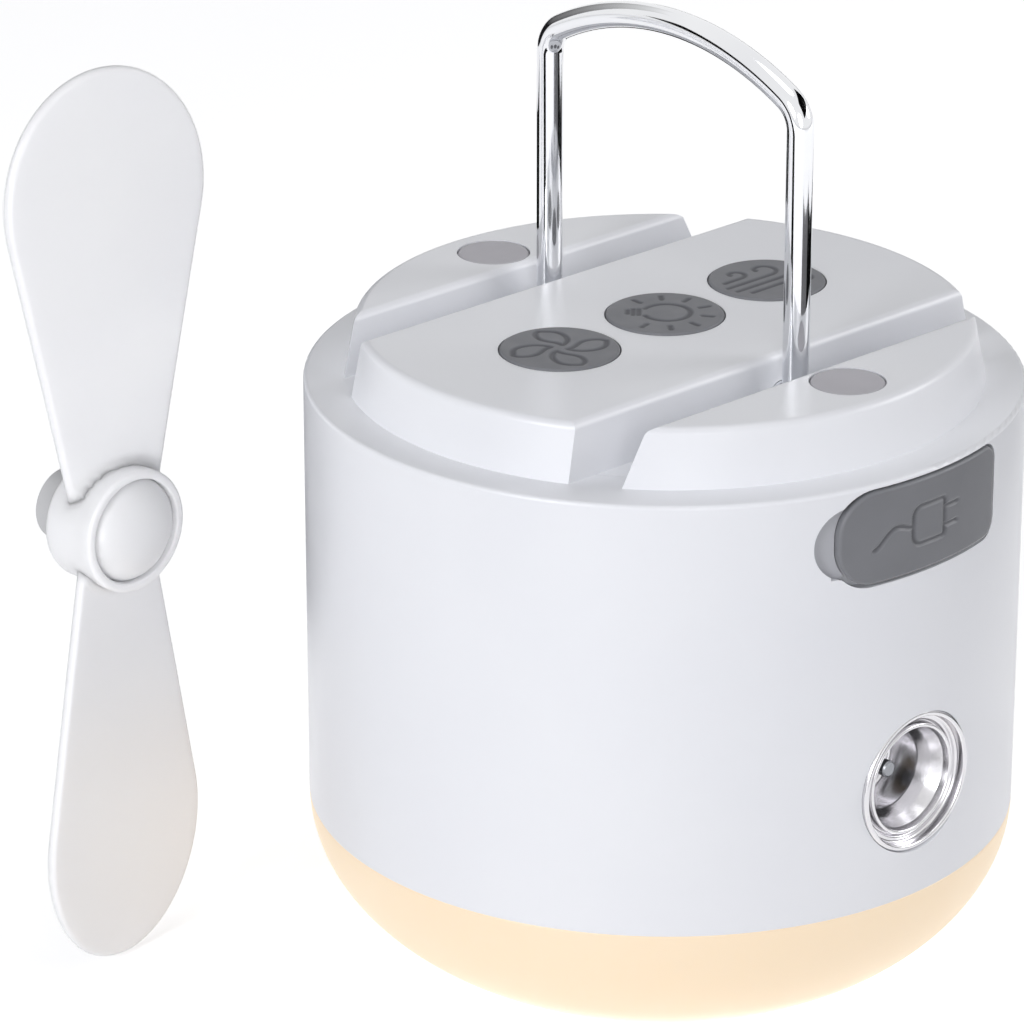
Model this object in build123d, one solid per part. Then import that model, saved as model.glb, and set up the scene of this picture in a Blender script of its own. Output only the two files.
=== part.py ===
from build123d import *
from math import atan2, cos, degrees, radians, sin, sqrt
import os

# A squat round camping fan and lamp: a white housing over a frosted dome, a raised
# deck with three keys, a wire bail, a flap over the charging sockets, a port with the
# motor's shaft, and a two-blade propeller that stands beside it, off its shaft.
# Millimetres. +Z is up, the foot's centre is the origin, and the port faces -Y.

full_turn = 360.0
quarter_turn = 90.0

# ---- clearances
slip_gap = 0.15        # between moulded pieces that only locate each other
run_gap = 0.05         # radial, round a shaft, pin or plunger that turns or slides
soft_gap = 0.3         # round a soft piece that moves
screw_gap = 0.05       # radial, between a screw and its pilot hole
pass_gap = 0.3         # radial, round a screw that only passes through

# ---- dome
body_radius = 42.5
dome_depth = 24.0      # half-height of the ellipse that the dome's side follows
dome_flat = 4.0        # radius at which that ellipse has its lowest point
foot_radius = 12.0
dome_wall = 2.0
lip_wall = 1.4
lip_rise = 3.5         # lip above the seam
lip_root = 3.0         # lip below the seam
gasket_thick = 0.8

# ---- housing
shell_height = 53.1
shell_wall = 2.2
rim_fillet = 0.5
rim_width = 8.35       # of the flange that carries the deck
ledge_thick = 2.0
gasket_rib_thick = 1.2
lug_radius = 4.5
lug_thick = 2.6

# ---- deck
deck_rise = 6.85
ledge_width = 4.8      # of the ledge that shows round the deck
deck_slope = 1.4       # that the deck's side leans in over its height
deck_wall = 2.0
deck_fillet = 1.0
groove_inner_side = 2.3    # from the bail's leg to the band's foot
groove_inner_slope = 0.3
groove_outer_side = 2.8    # from the leg to the side segment's foot
groove_outer_slope = 1.1
key_pocket_length = 56.0
key_pocket_width = 22.0
key_pocket_corner = 3.0
side_pocket_wall = 2.5
side_pocket_margin = 2.0

# ---- keys and switches
key_radius = 7.0
key_pitch = 17.0
key_proud = 0.25
key_travel = 0.8
key_edge = 0.35
key_flange_radius = 8.0
key_flange_thick = 0.8
key_stem_radius = 2.2
switch_side = 6.0
switch_height = 3.5
switch_well_depth = 2.5
plunger_radius = 1.7
plunger_proud = 1.0
plunger_sunk = 1.4

# ---- plugs and screws
plug_inset = 6.7       # from the deck's upper edge to the plug's middle
plug_radius = 4.3
plug_thick = 2.4
deck_screw_radius = 1.3
deck_screw_head_radius = 2.8
deck_screw_head_thick = 2.2
small_screw_radius = 1.0
small_screw_head_radius = 2.0
small_screw_head_thick = 1.3

# ---- bail
bail_wire_radius = 1.55
bail_x = 0.8
bail_leg_y = 20.6
bail_height = 40.5     # from the pivot to the top of the arch, along the wire's middle
bail_arch_radius = 39.0
bail_bend_radius = 4.0
bail_foot_bend = 2.2
bail_lift = 0.35       # under the wire when it lies in its grooves
bail_pin_length = 4.2  # of the bent end that sits in the deck

# ---- main board and sockets
board_gap = 1.2        # between the deck's plate and the board
board_thick = 1.6
board_length = 58.0
board_width = 44.0
board_tongue_width = 28.0
board_front_gap = 3.8  # between the board's tongue and the wall
board_screw_inset_x = 4.0
board_screw_inset_y = 7.5
board_boss_radius = 2.5
board_screw_bite = 6.0
socket_setback = 1.9   # of the sockets' mouths behind the wall
usb_a_width = 13.1
usb_a_height = 5.7
usb_a_depth = 14.0
usb_a_x = -6.6
usb_c_width = 9.0
usb_c_height = 3.2
usb_c_depth = 7.4
usb_c_x = 4.9
socket_wall = 0.4
tongue_share = 0.35    # of a socket's inner height that its contact tongue takes
tongue_margin = 1.2    # between the tongue's edges and the socket's outside
component_x = 8.5

# ---- socket cover
cover_half_arc = 13.3  # along the housing's surface
cover_height = 11.3
cover_drop = 6.5       # from the rim down to the cover's middle
cover_square_corner = 2.2
cover_round_corner = 5.0
cover_thick = 1.6
cover_proud = 0.2
cover_recess_floor = 0.6   # wall left behind the recess
anchor_inset = 1.4      # from the cover's square end to the anchor's middle
notch_radius = 4.4
notch_reach = 15.4
notch_depth = 0.8
anchor_width = 1.4
anchor_height = 7.0
anchor_flange = 1.0
cover_plug_reach = 1.2  # of the plugs behind the cover
cover_plug_gap = 0.6    # round them, because they swing out

# ---- fan port
port_z = 37.6
port_radius = 8.6
port_sink = 0.3        # of the port's mouth under the housing's front
port_flange_thick = 1.6
port_tube_radius = 7.2
port_mouth_radius = 7.9
port_step_depth = 1.4
port_step_radius = 6.6
port_funnel_start = 2.2
port_funnel_end = 4.4
port_bore_radius = 4.8
port_floor_thick = 1.3
port_depth = 8.9
port_edge = 0.35

# ---- motor
motor_radius = 10.2
motor_length = 19.0
motor_wall = 1.0
motor_gap = 0.3        # between the port's floor and the motor's face
motor_boss_radius = 3.0
motor_boss_length = 1.9
bushing_radius = 2.3
bushing_length = 2.8
end_bell_thick = 2.5
end_bell_plug = 1.5
shaft_radius = 1.0
shaft_reach = 4.4      # how deep the shaft's tip lies under the port's mouth
shaft_tail = 1.4
shaft_relief = 0.6     # width of the groove ahead of the motor's boss
shaft_relief_depth = 0.25
shaft_tip_edge = 0.2
magnet_thick = 1.75
magnet_length = 13.0
magnet_angle = 110.0
magnet_setback = 2.2
rotor_gap = 0.5
rotor_length = 9.0
rotor_setback = 4.2
rotor_slots = 3
rotor_slot_width = 1.6
rotor_slot_root = 2.6
winding_overhang = 1.4
winding_share = 0.8
commutator_radius = 2.4
brush_gap = 0.1
brush_length = 3.4
brush_width = 1.6

# ---- chassis, straps and battery
chassis_gap = 0.35     # between the chassis and the dome's lip
chassis_lift = 1.4     # above the seam
chassis_thick = 2.0
chassis_post_radius = 3.2
chassis_post_height = 12.0
chassis_post_inset = 3.9   # from the chassis's edge
chassis_post_angles = (-20.0, 70.0, 110.0, 200.0)
saddle_thick = 2.4
saddle_drop = 3.0      # from the held cylinder's middle down to the saddle's top
strap_thick = 1.5
strap_width = 6.0
strap_ear = 6.0
strap_pad_height = 2.0
strap_pad_margin = 0.5
cell_radius = 9.2
cell_end_room = 7.8     # from each end of the cell out to the wall's radius
cell_margin = 1.15     # between the cell's far edge and the wall
cell_cap_radius = 3.0
cell_cap_length = 1.0
cell_saddle_x = 22.0

# ---- lamp board
lamp_board_inset = 8.4  # from the chassis's edge
lamp_board_thick = 1.6
lamp_board_drop = 2.0  # below the chassis
lamp_screw_circle = 14.0
lamp_screw_angles = (0.0, 120.0, 240.0)
led_count = 12
led_inset = 7.0        # from the lamp board's edge
led_side = 3.0
led_thick = 0.8

# ---- propeller, standing off its shaft
propeller_left = 5.7   # of the hub, beyond the housing's left side
propeller_behind = 1.4 # of the hub, beyond the housing's back
propeller_floor_gap = 0.6
propeller_turn = 2.5   # of its axis, seen from above, as it stands
blade_tip_radius = 56.7
blade_root_width = 11.9
blade_root_radius = 3.0
blade_widest_radius = 41.0
blade_width = 27.2
blade_thick = 1.4
blade_root_angle = 5.9
blade_tip_angle = 8.6
blade_stations = 5
blade_margin = 1.5     # that the twisted sheet runs past the outline
hub_radius = 7.6
hub_front = 4.0        # barrel ahead of the blades' plane
hub_back = 4.1
hub_edge = 0.5
cap_radius = 6.3
cap_recess = 2.4       # of the barrel's mouth, which the cap is pressed into
cap_skirt = 0.9
cap_depth = 4.0
cap_wall = 1.2
boss_radius = 4.5
boss_length = 5.5
boss_edge = 0.5
bush_radius = 2.2
bush_bore_radius = shaft_radius   # pushed on line to line

# ---- levels worked out from the sizes above
seam_z = dome_depth * sqrt(1 - ((foot_radius - dome_flat) / (body_radius - dome_flat)) ** 2)
rim_z = seam_z + shell_height
deck_top_z = rim_z + deck_rise
plate_z = rim_z - ledge_thick
ceiling_z = deck_top_z - deck_wall
board_top_z = plate_z - board_gap
board_z = board_top_z - board_thick
inner_radius = body_radius - shell_wall
rim_opening_radius = body_radius - rim_width
deck_foot_radius = body_radius - ledge_width
deck_top_radius = deck_foot_radius - deck_slope
groove_inner_foot_y = bail_leg_y - groove_inner_side
groove_inner_top_y = groove_inner_foot_y - groove_inner_slope
groove_outer_foot_y = bail_leg_y + groove_outer_side
groove_outer_top_y = groove_outer_foot_y + groove_outer_slope
plug_y = deck_top_radius - plug_inset
board_front_y = inner_radius - board_front_gap
board_screw_x = board_length / 2 - board_screw_inset_x
board_screw_y = board_width / 2 - board_screw_inset_y
socket_mouth_y = inner_radius - socket_setback
plug_floor_z = deck_top_z - plug_thick - deck_screw_head_thick - slip_gap
lug_z = plate_z - lug_thick
lip_radius = inner_radius - slip_gap
chassis_radius = lip_radius - lip_wall - chassis_gap
chassis_post_circle = chassis_radius - chassis_post_inset
lamp_board_radius = chassis_radius - lamp_board_inset
led_circle = lamp_board_radius - led_inset
gasket_z = seam_z + lip_rise
gasket_rib_z = gasket_z + gasket_thick
chassis_z = seam_z + chassis_lift
chassis_top_z = chassis_z + chassis_thick
lamp_board_z = chassis_z - lamp_board_drop - lamp_board_thick
bail_z = rim_z + bail_lift + bail_wire_radius
cover_z = rim_z - cover_drop
cover_outer_radius = body_radius + cover_proud
cover_inner_radius = cover_outer_radius - cover_thick
recess_radius = inner_radius + cover_recess_floor
port_mouth_y = body_radius - port_sink
port_floor_y = port_mouth_y - port_depth
motor_face_y = port_floor_y - port_floor_thick - motor_gap
motor_back_y = motor_face_y - motor_length
shaft_tip_y = port_mouth_y - shaft_reach
shaft_back_y = motor_back_y - end_bell_thick - shaft_tail
cell_length = 2 * (inner_radius - cell_end_room)
cell_y = sqrt(inner_radius ** 2 - (cell_length / 2) ** 2) - cell_radius - cell_margin
propeller_x = -body_radius - propeller_left
propeller_y = body_radius + propeller_behind
propeller_z = blade_tip_radius + propeller_floor_gap
cap_seat = hub_front - cap_recess
flange_top_z = ceiling_z - soft_gap
flange_z = flange_top_z - key_flange_thick
switch_top_z = board_top_z + switch_height
rotor_radius = motor_radius - motor_wall - magnet_thick - rotor_gap
rotor_front_y = motor_face_y - motor_wall - rotor_setback
rotor_back_y = rotor_front_y - rotor_length
rotor_angles = [index * full_turn / rotor_slots for index in range(rotor_slots)]
winding_width = 2 * rotor_slot_width
winding_tip = winding_share * rotor_radius
post_screw_length = chassis_thick + chassis_post_height / 2
lamp_screw_length = lamp_board_thick + lamp_board_drop + chassis_thick / 2
board_screw_places = [(sx * board_screw_x, sy * board_screw_y) for sx in (-1, 1) for sy in (-1, 1)]
post_places = [(chassis_post_circle * cos(radians(a)), chassis_post_circle * sin(radians(a)))
               for a in chassis_post_angles]
lamp_screw_places = [(lamp_screw_circle * cos(radians(a)), lamp_screw_circle * sin(radians(a)))
                     for a in lamp_screw_angles]
key_places = {"fan": -key_pitch, "lamp": 0.0, "wind": key_pitch}
socket_sizes = [(usb_a_x, usb_a_width, usb_a_height), (usb_c_x, usb_c_width, usb_c_height)]


def disc(radius, low, high, x=0.0, y=0.0):
    """An upright cylinder between two heights."""
    return Pos(x, y, low) * Cylinder(radius, high - low, align=(Align.CENTER, Align.CENTER, Align.MIN))


def ring(outer, inner, low, high, x=0.0, y=0.0):
    return disc(outer, low, high, x, y) - disc(inner, low, high, x, y)


def rod(radius, front, back, x=0.0, z=port_z):
    """A cylinder along Y. front and back are distances ahead of the axis, towards -Y."""
    solid = Cylinder(radius, front - back, align=(Align.CENTER, Align.CENTER, Align.MIN))
    return Pos(x, -back, z) * Rot(quarter_turn, 0, 0) * solid


def block(x_low, x_high, y_low, y_high, z_low, z_high):
    solid = Box(x_high - x_low, y_high - y_low, z_high - z_low, align=(Align.MIN, Align.MIN, Align.MIN))
    return Pos(x_low, y_low, z_low) * solid


def screw(radius, head_radius, head_thick, length, x, y, head_z, up=True):
    """A plain screw. head_z is the seat under its head, and up says which way it points."""
    side = 1 if up else -1
    shank = disc(radius, *sorted((head_z, head_z + side * length)), x, y)
    return shank + disc(head_radius, *sorted((head_z, head_z - side * head_thick)), x, y)


def small_screw(length, x, y, head_z, up=True):
    sizes = small_screw_radius, small_screw_head_radius, small_screw_head_thick
    return screw(*sizes, length, x, y, head_z, up)


# ---- housing and dome
def dome_body(inset):
    """The dome's outside moved in by inset: elliptical side, flat foot, open at the seam."""
    low = seam_z - dome_depth + inset
    side = EllipticalCenterArc((dome_flat, seam_z), body_radius - dome_flat - inset, dome_depth - inset,
                               start_angle=-quarter_turn, arc_size=quarter_turn)
    outline = Wire([Edge.make_line((0, low), side @ 0), side.edges()[0],
                    Edge.make_line(side @ 1, (0, seam_z)), Edge.make_line((0, seam_z), (0, low))])
    return revolve(Plane.XZ * Face(outline), Axis.Z) & disc(body_radius, inset, seam_z)


def make_diffuser():
    root = ring(body_radius, lip_radius - lip_wall, seam_z - lip_root, seam_z) & dome_body(0.0)
    lip = ring(lip_radius, lip_radius - lip_wall, seam_z, gasket_z)
    return dome_body(0.0) - dome_body(dome_wall) + root + lip


def cover_prism(grow):
    """The cover's outline, run through the wall. One end is square with small corners, one is round."""
    x = body_radius * sin(cover_half_arc / body_radius) + grow
    z = cover_height / 2 + grow
    corners = [radius + grow for radius in (cover_round_corner, cover_square_corner)]
    outline = FilletPolyline((-x, -z), (x, -z), (x, z), (-x, z), radius=corners + corners[::-1], close=True)
    face = Plane((0, 0, cover_z), x_dir=(1, 0, 0), z_dir=(0, -1, 0)) * make_face(outline)
    return extrude(face, body_radius + shell_wall)


def skin(outer, inner):
    """A full ring of the housing's height, for pieces that follow its curve."""
    return ring(outer, inner, seam_z, deck_top_z)


def socket_window(x, width, height):
    """The hole in the wall in front of a socket."""
    grown = width / 2 + slip_gap
    return block(x - grown, x + grown, -body_radius, shell_wall - socket_mouth_y,
                 board_z - height - slip_gap, board_z)


def anchor_place(width, height, inner, outer):
    """A small upright block through the wall, behind the cover's square end."""
    angle = (cover_half_arc - anchor_inset) / body_radius
    solid = Box(width, outer - inner, height)
    return Rot(0, 0, degrees(angle)) * Pos(0, -(outer + inner) / 2, cover_z) * solid


def make_shell():
    shell = disc(body_radius, seam_z, rim_z)
    shell = fillet(shell.edges().group_by(Axis.Z)[-1], rim_fillet)
    shell -= disc(inner_radius, seam_z, plate_z)
    shell -= disc(rim_opening_radius, plate_z, rim_z)
    shell += ring(inner_radius + slip_gap, chassis_radius + slip_gap, gasket_rib_z,
                  gasket_rib_z + gasket_rib_thick)
    for side in (-1, 1):
        near, far = sorted((side * plug_y, side * (inner_radius + slip_gap)))
        shell += block(-lug_radius, lug_radius, near, far, lug_z, plate_z)
        shell += disc(lug_radius, lug_z, plate_z, 0, side * plug_y)
        shell -= disc(deck_screw_radius + screw_gap, lug_z, plate_z, 0, side * plug_y)
    post_top_z = chassis_top_z + chassis_post_height
    for angle, (x, y) in zip(chassis_post_angles, post_places):
        rib = block(chassis_post_circle, inner_radius + slip_gap, -saddle_thick / 2, saddle_thick / 2,
                    gasket_rib_z, post_top_z)
        shell += disc(chassis_post_radius, chassis_top_z, post_top_z, x, y) + Rot(0, 0, angle) * rib
    for x, y in post_places:
        shell -= disc(small_screw_radius + screw_gap, chassis_top_z, post_top_z - chassis_thick, x, y)
    shell -= cover_prism(soft_gap) & skin(body_radius, recess_radius)
    notch_x = notch_radius - notch_reach
    notch = rod(notch_radius, body_radius, 0, notch_x, cover_z)
    shell -= notch & skin(body_radius, body_radius - notch_depth)
    for x, width, height in socket_sizes:
        shell -= socket_window(x, width, height)
    slot = anchor_width + slip_gap, anchor_height + slip_gap
    shell -= anchor_place(*slot, inner_radius - shell_wall, body_radius)
    shell -= rod(port_radius + run_gap, body_radius + shell_wall, port_mouth_y - port_flange_thick)
    shell -= rod(port_tube_radius + run_gap, body_radius, port_floor_y)
    return shell


def make_gasket():
    return ring(lip_radius, lip_radius - lip_wall, gasket_z, gasket_rib_z)


# ---- deck
def groove(side):
    """One groove, open at both ends, with sloping walls."""
    outline = Polyline(
        (side * groove_inner_foot_y, rim_z), (side * groove_outer_foot_y, rim_z),
        (side * groove_outer_top_y, deck_top_z), (side * groove_inner_top_y, deck_top_z), close=True)
    face = Plane((-body_radius, 0, 0), x_dir=(0, 1, 0), z_dir=(1, 0, 0)) * make_face(outline)
    return extrude(face, 2 * body_radius)


def side_pocket(side):
    """Cored-out space under a side segment, round the boss of its screw."""
    space = disc(rim_opening_radius - side_pocket_margin, plate_z, ceiling_z)
    low, high = sorted((side * (groove_outer_top_y + side_pocket_wall), side * body_radius))
    space &= block(-body_radius, body_radius, low, high, plate_z, ceiling_z)
    return space - disc(plug_radius + deck_wall, plate_z, ceiling_z, 0, side * plug_y)


def make_deck():
    island = Pos(0, 0, rim_z) * Cone(deck_foot_radius, deck_top_radius, deck_rise,
                                      align=(Align.CENTER, Align.CENTER, Align.MIN))
    island -= groove(-1) + groove(1)
    island = fillet(island.edges().group_by(Axis.Z)[-1], deck_fillet)
    deck = island + disc(rim_opening_radius - slip_gap, plate_z, rim_z)
    pocket = RectangleRounded(key_pocket_length, key_pocket_width, key_pocket_corner)
    deck -= extrude(Pos(0, 0, plate_z) * pocket, ceiling_z - plate_z)
    for x in key_places.values():
        deck -= disc(key_radius + slip_gap, ceiling_z, deck_top_z, x)
    for side in (-1, 1):
        y = side * plug_y
        deck -= side_pocket(side)
        deck -= disc(plug_radius + slip_gap, plug_floor_z, deck_top_z, 0, y)
        deck -= disc(deck_screw_radius + pass_gap, plate_z, plug_floor_z, 0, y)
        pin_end = bail_leg_y - bail_foot_bend - bail_pin_length - soft_gap
        near, far = sorted((side * pin_end, side * groove_outer_foot_y))
        deck -= rod(bail_wire_radius + run_gap, -near, -far, bail_x, bail_z)
    for x, y in board_screw_places:
        deck += disc(board_boss_radius, board_top_z, plate_z, x, y)
        deck -= disc(small_screw_radius + screw_gap, board_top_z, board_z + board_screw_bite, x, y)
    return deck


def make_key(x):
    """A silicone key: flush cap, flange that keeps it in, and the stem on its switch."""
    cap = disc(key_radius, flange_z, deck_top_z + key_proud, x)
    cap = fillet(cap.edges().group_by(Axis.Z)[-1], key_edge)
    key = cap + disc(key_flange_radius, flange_z, flange_top_z, x)
    return key + disc(key_stem_radius, switch_top_z + plunger_proud, flange_z, x)


def make_plunger(x):
    return disc(plunger_radius, switch_top_z - plunger_sunk, switch_top_z + plunger_proud, x)


def make_switches():
    half = switch_side / 2
    return [block(x - half, x + half, -half, half, board_top_z, switch_top_z)
            - disc(plunger_radius + run_gap, switch_top_z - switch_well_depth, switch_top_z, x)
            for x in key_places.values()]


def make_plug(side):
    plug = disc(plug_radius, deck_top_z - plug_thick, deck_top_z, 0, side * plug_y)
    return fillet(plug.edges().group_by(Axis.Z)[-1], slip_gap)


def make_deck_screw(side):
    length = plug_floor_z - lug_z
    return screw(deck_screw_radius, deck_screw_head_radius, deck_screw_head_thick, length,
                 0, side * plug_y, plug_floor_z, up=False)


# ---- bail
def make_bail():
    """Round wire: bent-in pin, leg, tight bend, arch, and the same again."""
    arch_z = bail_z + bail_height - bail_arch_radius
    bend_y = bail_leg_y - bail_bend_radius
    bend_z = arch_z + sqrt((bail_arch_radius - bail_bend_radius) ** 2 - bend_y ** 2)
    bend_turn = degrees(atan2(bend_z - arch_z, bend_y))
    pin_y = bail_leg_y - bail_foot_bend
    pin = Line((pin_y - bail_pin_length, bail_z), (pin_y, bail_z))
    foot = JernArc(pin @ 1, pin % 1, bail_foot_bend, quarter_turn)
    leg = Line(foot @ 1, (bail_leg_y, bend_z))
    bend = JernArc(leg @ 1, leg % 1, bail_bend_radius, bend_turn)
    arch = JernArc(bend @ 1, bend % 1, bail_arch_radius, 2 * (quarter_turn - bend_turn))
    far_bend = JernArc(arch @ 1, arch % 1, bail_bend_radius, bend_turn)
    far_leg = Line(far_bend @ 1, (-bail_leg_y, bail_z + bail_foot_bend))
    far_foot = JernArc(far_leg @ 1, far_leg % 1, bail_foot_bend, quarter_turn)
    far_pin = Line(far_foot @ 1, (bail_pin_length - pin_y, bail_z))
    pieces = [pin, foot, leg, bend, arch, far_bend, far_leg, far_foot, far_pin]
    wire = Wire([edge for piece in pieces for edge in piece.edges()])
    path = Plane((bail_x, 0, 0), x_dir=(0, 1, 0), z_dir=(1, 0, 0)) * wire
    return sweep(Plane(path @ 0, z_dir=path % 0) * Circle(bail_wire_radius), path)


# ---- boards and sockets
def make_board():
    half_length, half_width = board_length / 2, board_width / 2
    board = block(-half_length, half_length, -half_width, half_width, board_z, board_top_z)
    board = fillet(board.edges().filter_by(Axis.Z), key_pocket_corner)
    board += block(-board_tongue_width / 2, board_tongue_width / 2, -board_front_y, 0, board_z, board_top_z)
    slot = lug_radius + pass_gap
    board -= block(-slot, slot, -board_front_y, slot - plug_y, board_z, board_top_z)
    for x, y in board_screw_places:
        board -= disc(small_screw_radius + slip_gap, board_z, board_top_z, x, y)
    return board


def make_components():
    """A choke, a can capacitor and two chips, all between the switches."""
    half = switch_side / 2
    chip_y = key_pocket_width / 2 - half
    choke = block(component_x - half, component_x + half, -half, half, board_top_z, switch_top_z)
    choke = chamfer(choke.edges().filter_by(Axis.Z), key_flange_thick)
    capacitor = disc(key_stem_radius, board_top_z, switch_top_z, -component_x)
    chips = [block(x - half / 2, x + half / 2, chip_y - half / 2, chip_y + half / 2, board_top_z,
                   board_top_z + led_thick) for x in (-component_x, component_x)]
    return [choke, capacitor] + chips


def make_socket(x, width, height, depth):
    """A metal socket shell with its contact tongue on a block at the back."""
    low, high, mouth, back = board_z - height, board_z, -socket_mouth_y, depth - socket_mouth_y
    shell = block(x - width / 2, x + width / 2, mouth, back, low, high)
    shell -= block(x - width / 2 + socket_wall, x + width / 2 - socket_wall, mouth, back - socket_wall,
                   low + socket_wall, high - socket_wall)
    inner = height - 2 * socket_wall
    tongue_low = low + height / 2 - inner * tongue_share / 2
    half = width / 2 - tongue_margin
    tongue_top = tongue_low + inner * tongue_share
    return shell + block(x - half, x + half, mouth + socket_wall, back, tongue_low, tongue_top)


# ---- socket cover
def make_cover():
    """A soft flap that follows the housing's curve, with a shallow plug for each socket behind it."""
    cover = cover_prism(0.0) & skin(cover_outer_radius, cover_inner_radius)
    for x, width, height in socket_sizes:
        plug = block(x - width / 2 + cover_plug_gap, x + width / 2 - cover_plug_gap, -body_radius, 0,
                     board_z - height + cover_plug_gap, board_z - cover_plug_gap)
        cover += plug & skin(cover_outer_radius - cover_thick / 2, cover_inner_radius - cover_plug_reach)
    return cover


def make_anchor():
    """The cover's root: a tab through the wall with a flange inside."""
    tab = anchor_place(anchor_width, anchor_height, inner_radius - anchor_flange, recess_radius)
    flange = anchor_place(anchor_width + anchor_flange, anchor_height + anchor_flange,
                          inner_radius - anchor_flange, inner_radius - slip_gap)
    return tab + flange


# ---- fan port and motor
def revolved(points, z=port_z, x=0.0):
    """A turned piece about an axis along Y, from (radius, distance ahead) points."""
    outline = Polyline(*[(radius, -ahead) for radius, ahead in points], close=True)
    return Pos(x, 0, z) * revolve(make_face(outline), Axis.Y)


def make_port():
    mouth = port_mouth_y
    port = revolved([
        (port_radius, mouth - port_edge), (port_radius - port_edge, mouth), (port_mouth_radius, mouth),
        (port_mouth_radius, mouth - port_step_depth), (port_step_radius, mouth - port_step_depth),
        (port_step_radius, mouth - port_funnel_start), (port_bore_radius, mouth - port_funnel_end),
        (port_bore_radius, port_floor_y), (motor_boss_radius + slip_gap, port_floor_y),
        (motor_boss_radius + slip_gap, port_floor_y - port_floor_thick),
        (port_tube_radius, port_floor_y - port_floor_thick),
        (port_tube_radius, mouth - port_flange_thick), (port_radius, mouth - port_flange_thick)])
    return port


def make_can():
    can = rod(motor_radius, motor_face_y, motor_back_y)
    can -= rod(motor_radius - motor_wall, motor_face_y - motor_wall, motor_back_y)
    can += rod(motor_boss_radius, motor_face_y + motor_boss_length, motor_face_y)
    return can - rod(bushing_radius, motor_face_y + motor_boss_length, motor_face_y - motor_wall)


def make_end_bell():
    bell = rod(motor_radius, motor_back_y, motor_back_y - end_bell_thick)
    bell += rod(motor_radius - motor_wall - slip_gap, motor_back_y + end_bell_plug, motor_back_y)
    return bell - rod(bushing_radius, motor_back_y + end_bell_plug, motor_back_y - end_bell_thick)


def make_bushings():
    front = motor_face_y + motor_boss_length
    back = motor_back_y - end_bell_thick
    spans = [(front, front - bushing_length), (back + bushing_length, back)]
    return [rod(bushing_radius, *span) - rod(shaft_radius + run_gap, *span) for span in spans]


def make_magnets():
    outer = motor_radius - motor_wall
    front = motor_face_y - motor_wall - magnet_setback
    back = front - magnet_length
    reach = 2 * motor_radius
    far_x, far_y = reach * cos(radians(magnet_angle / 2)), reach * sin(radians(magnet_angle / 2))
    triangle = make_face(Polyline((0, 0), (far_x, -far_y), (far_x, far_y), close=True))
    wedge = Pos(0, -front, port_z) * Rot(-quarter_turn, 0, 0) * extrude(triangle, magnet_length)
    half = (rod(outer, front, back) - rod(outer - magnet_thick, front, back)) & wedge
    return [half, mirror(half, Plane.YZ)]


def rotor_bar(angle, width, root, tip, front, back):
    """A bar that runs outwards from the shaft at an angle, for a slot or what lies in it."""
    bar = block(root, tip, -front, -back, -width / 2, width / 2)
    return Pos(0, 0, port_z) * Rot(0, angle, 0) * bar


def make_rotor_core():
    ends = rotor_front_y, rotor_back_y
    core = rod(rotor_radius, *ends)
    for angle in rotor_angles:
        core -= rotor_bar(angle, rotor_slot_width, rotor_slot_root, motor_radius, *ends)
        core -= rotor_bar(angle, winding_width, rotor_slot_root, winding_tip, *ends)
    return core - rod(shaft_radius, *ends)


def make_windings():
    ends = rotor_front_y + winding_overhang, rotor_back_y - winding_overhang
    return [rotor_bar(angle, winding_width - slip_gap, rotor_slot_root, winding_tip - slip_gap, *ends)
            for angle in rotor_angles]


def make_commutator():
    back = motor_back_y + end_bell_plug + slip_gap
    return rod(commutator_radius, rotor_back_y, back) - rod(shaft_radius, rotor_back_y, back)


def make_brushes():
    """Two carbon blocks that stand on the end bell, beside the commutator."""
    low = commutator_radius + brush_gap
    seat = motor_back_y + end_bell_plug
    half = brush_width / 2
    one = block(low, low + brush_length, -seat - brush_width, -seat, port_z - half, port_z + half)
    return [one, mirror(one, Plane.YZ)]


def make_shaft():
    """Ground shaft. A shallow groove ahead of the motor's boss marks off its free end."""
    relief_y = motor_face_y + motor_boss_length
    shaft = rod(shaft_radius, shaft_tip_y, shaft_back_y)
    shaft = chamfer(shaft.edges().sort_by(Axis.Y)[0], shaft_tip_edge)
    groove = rod(shaft_radius, relief_y + shaft_relief, relief_y)
    return shaft - (groove - rod(shaft_radius - shaft_relief_depth, relief_y + shaft_relief, relief_y))


# ---- chassis, battery and straps
def strap_screw_x(radius):
    return radius + strap_thick + strap_ear / 2


def make_strap(radius):
    """A half-round strap about the Y axis at the port's height, with an ear each side."""
    half = strap_width / 2
    inner, outer = radius + run_gap, radius + strap_thick
    ear_z = chassis_top_z + strap_pad_height
    strap = rod(outer, half, -half) & block(-outer, outer, -half, half, port_z, port_z + outer)
    strap += block(-outer, outer, -half, half, ear_z, port_z)
    strap += block(-outer - strap_ear, outer + strap_ear, -half, half, ear_z, ear_z + strap_thick)
    strap -= rod(inner, half, -half) + block(-inner, inner, -half, half, ear_z, port_z)
    for side in (-1, 1):
        x = side * strap_screw_x(radius)
        strap -= disc(small_screw_radius + slip_gap, ear_z, ear_z + strap_thick, x)
    return strap


def strap_screws(radius):
    seat = chassis_top_z + strap_pad_height + strap_thick
    length = strap_thick + strap_pad_height
    return [small_screw(length, side * strap_screw_x(radius), 0, seat, up=False) for side in (-1, 1)]


def strap_pads(radius):
    """Blocks on the chassis that the strap's ears are screwed to."""
    half = strap_width / 2
    pads = []
    for side in (-1, 1):
        low, high = sorted(side * (radius + strap_thick + reach) for reach in (strap_pad_margin, strap_ear))
        levels = chassis_top_z, chassis_top_z + strap_pad_height
        hole = disc(small_screw_radius + screw_gap, *levels, side * strap_screw_x(radius))
        pads.append(block(low, high, -half, half, *levels) - hole)
    return pads


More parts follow.
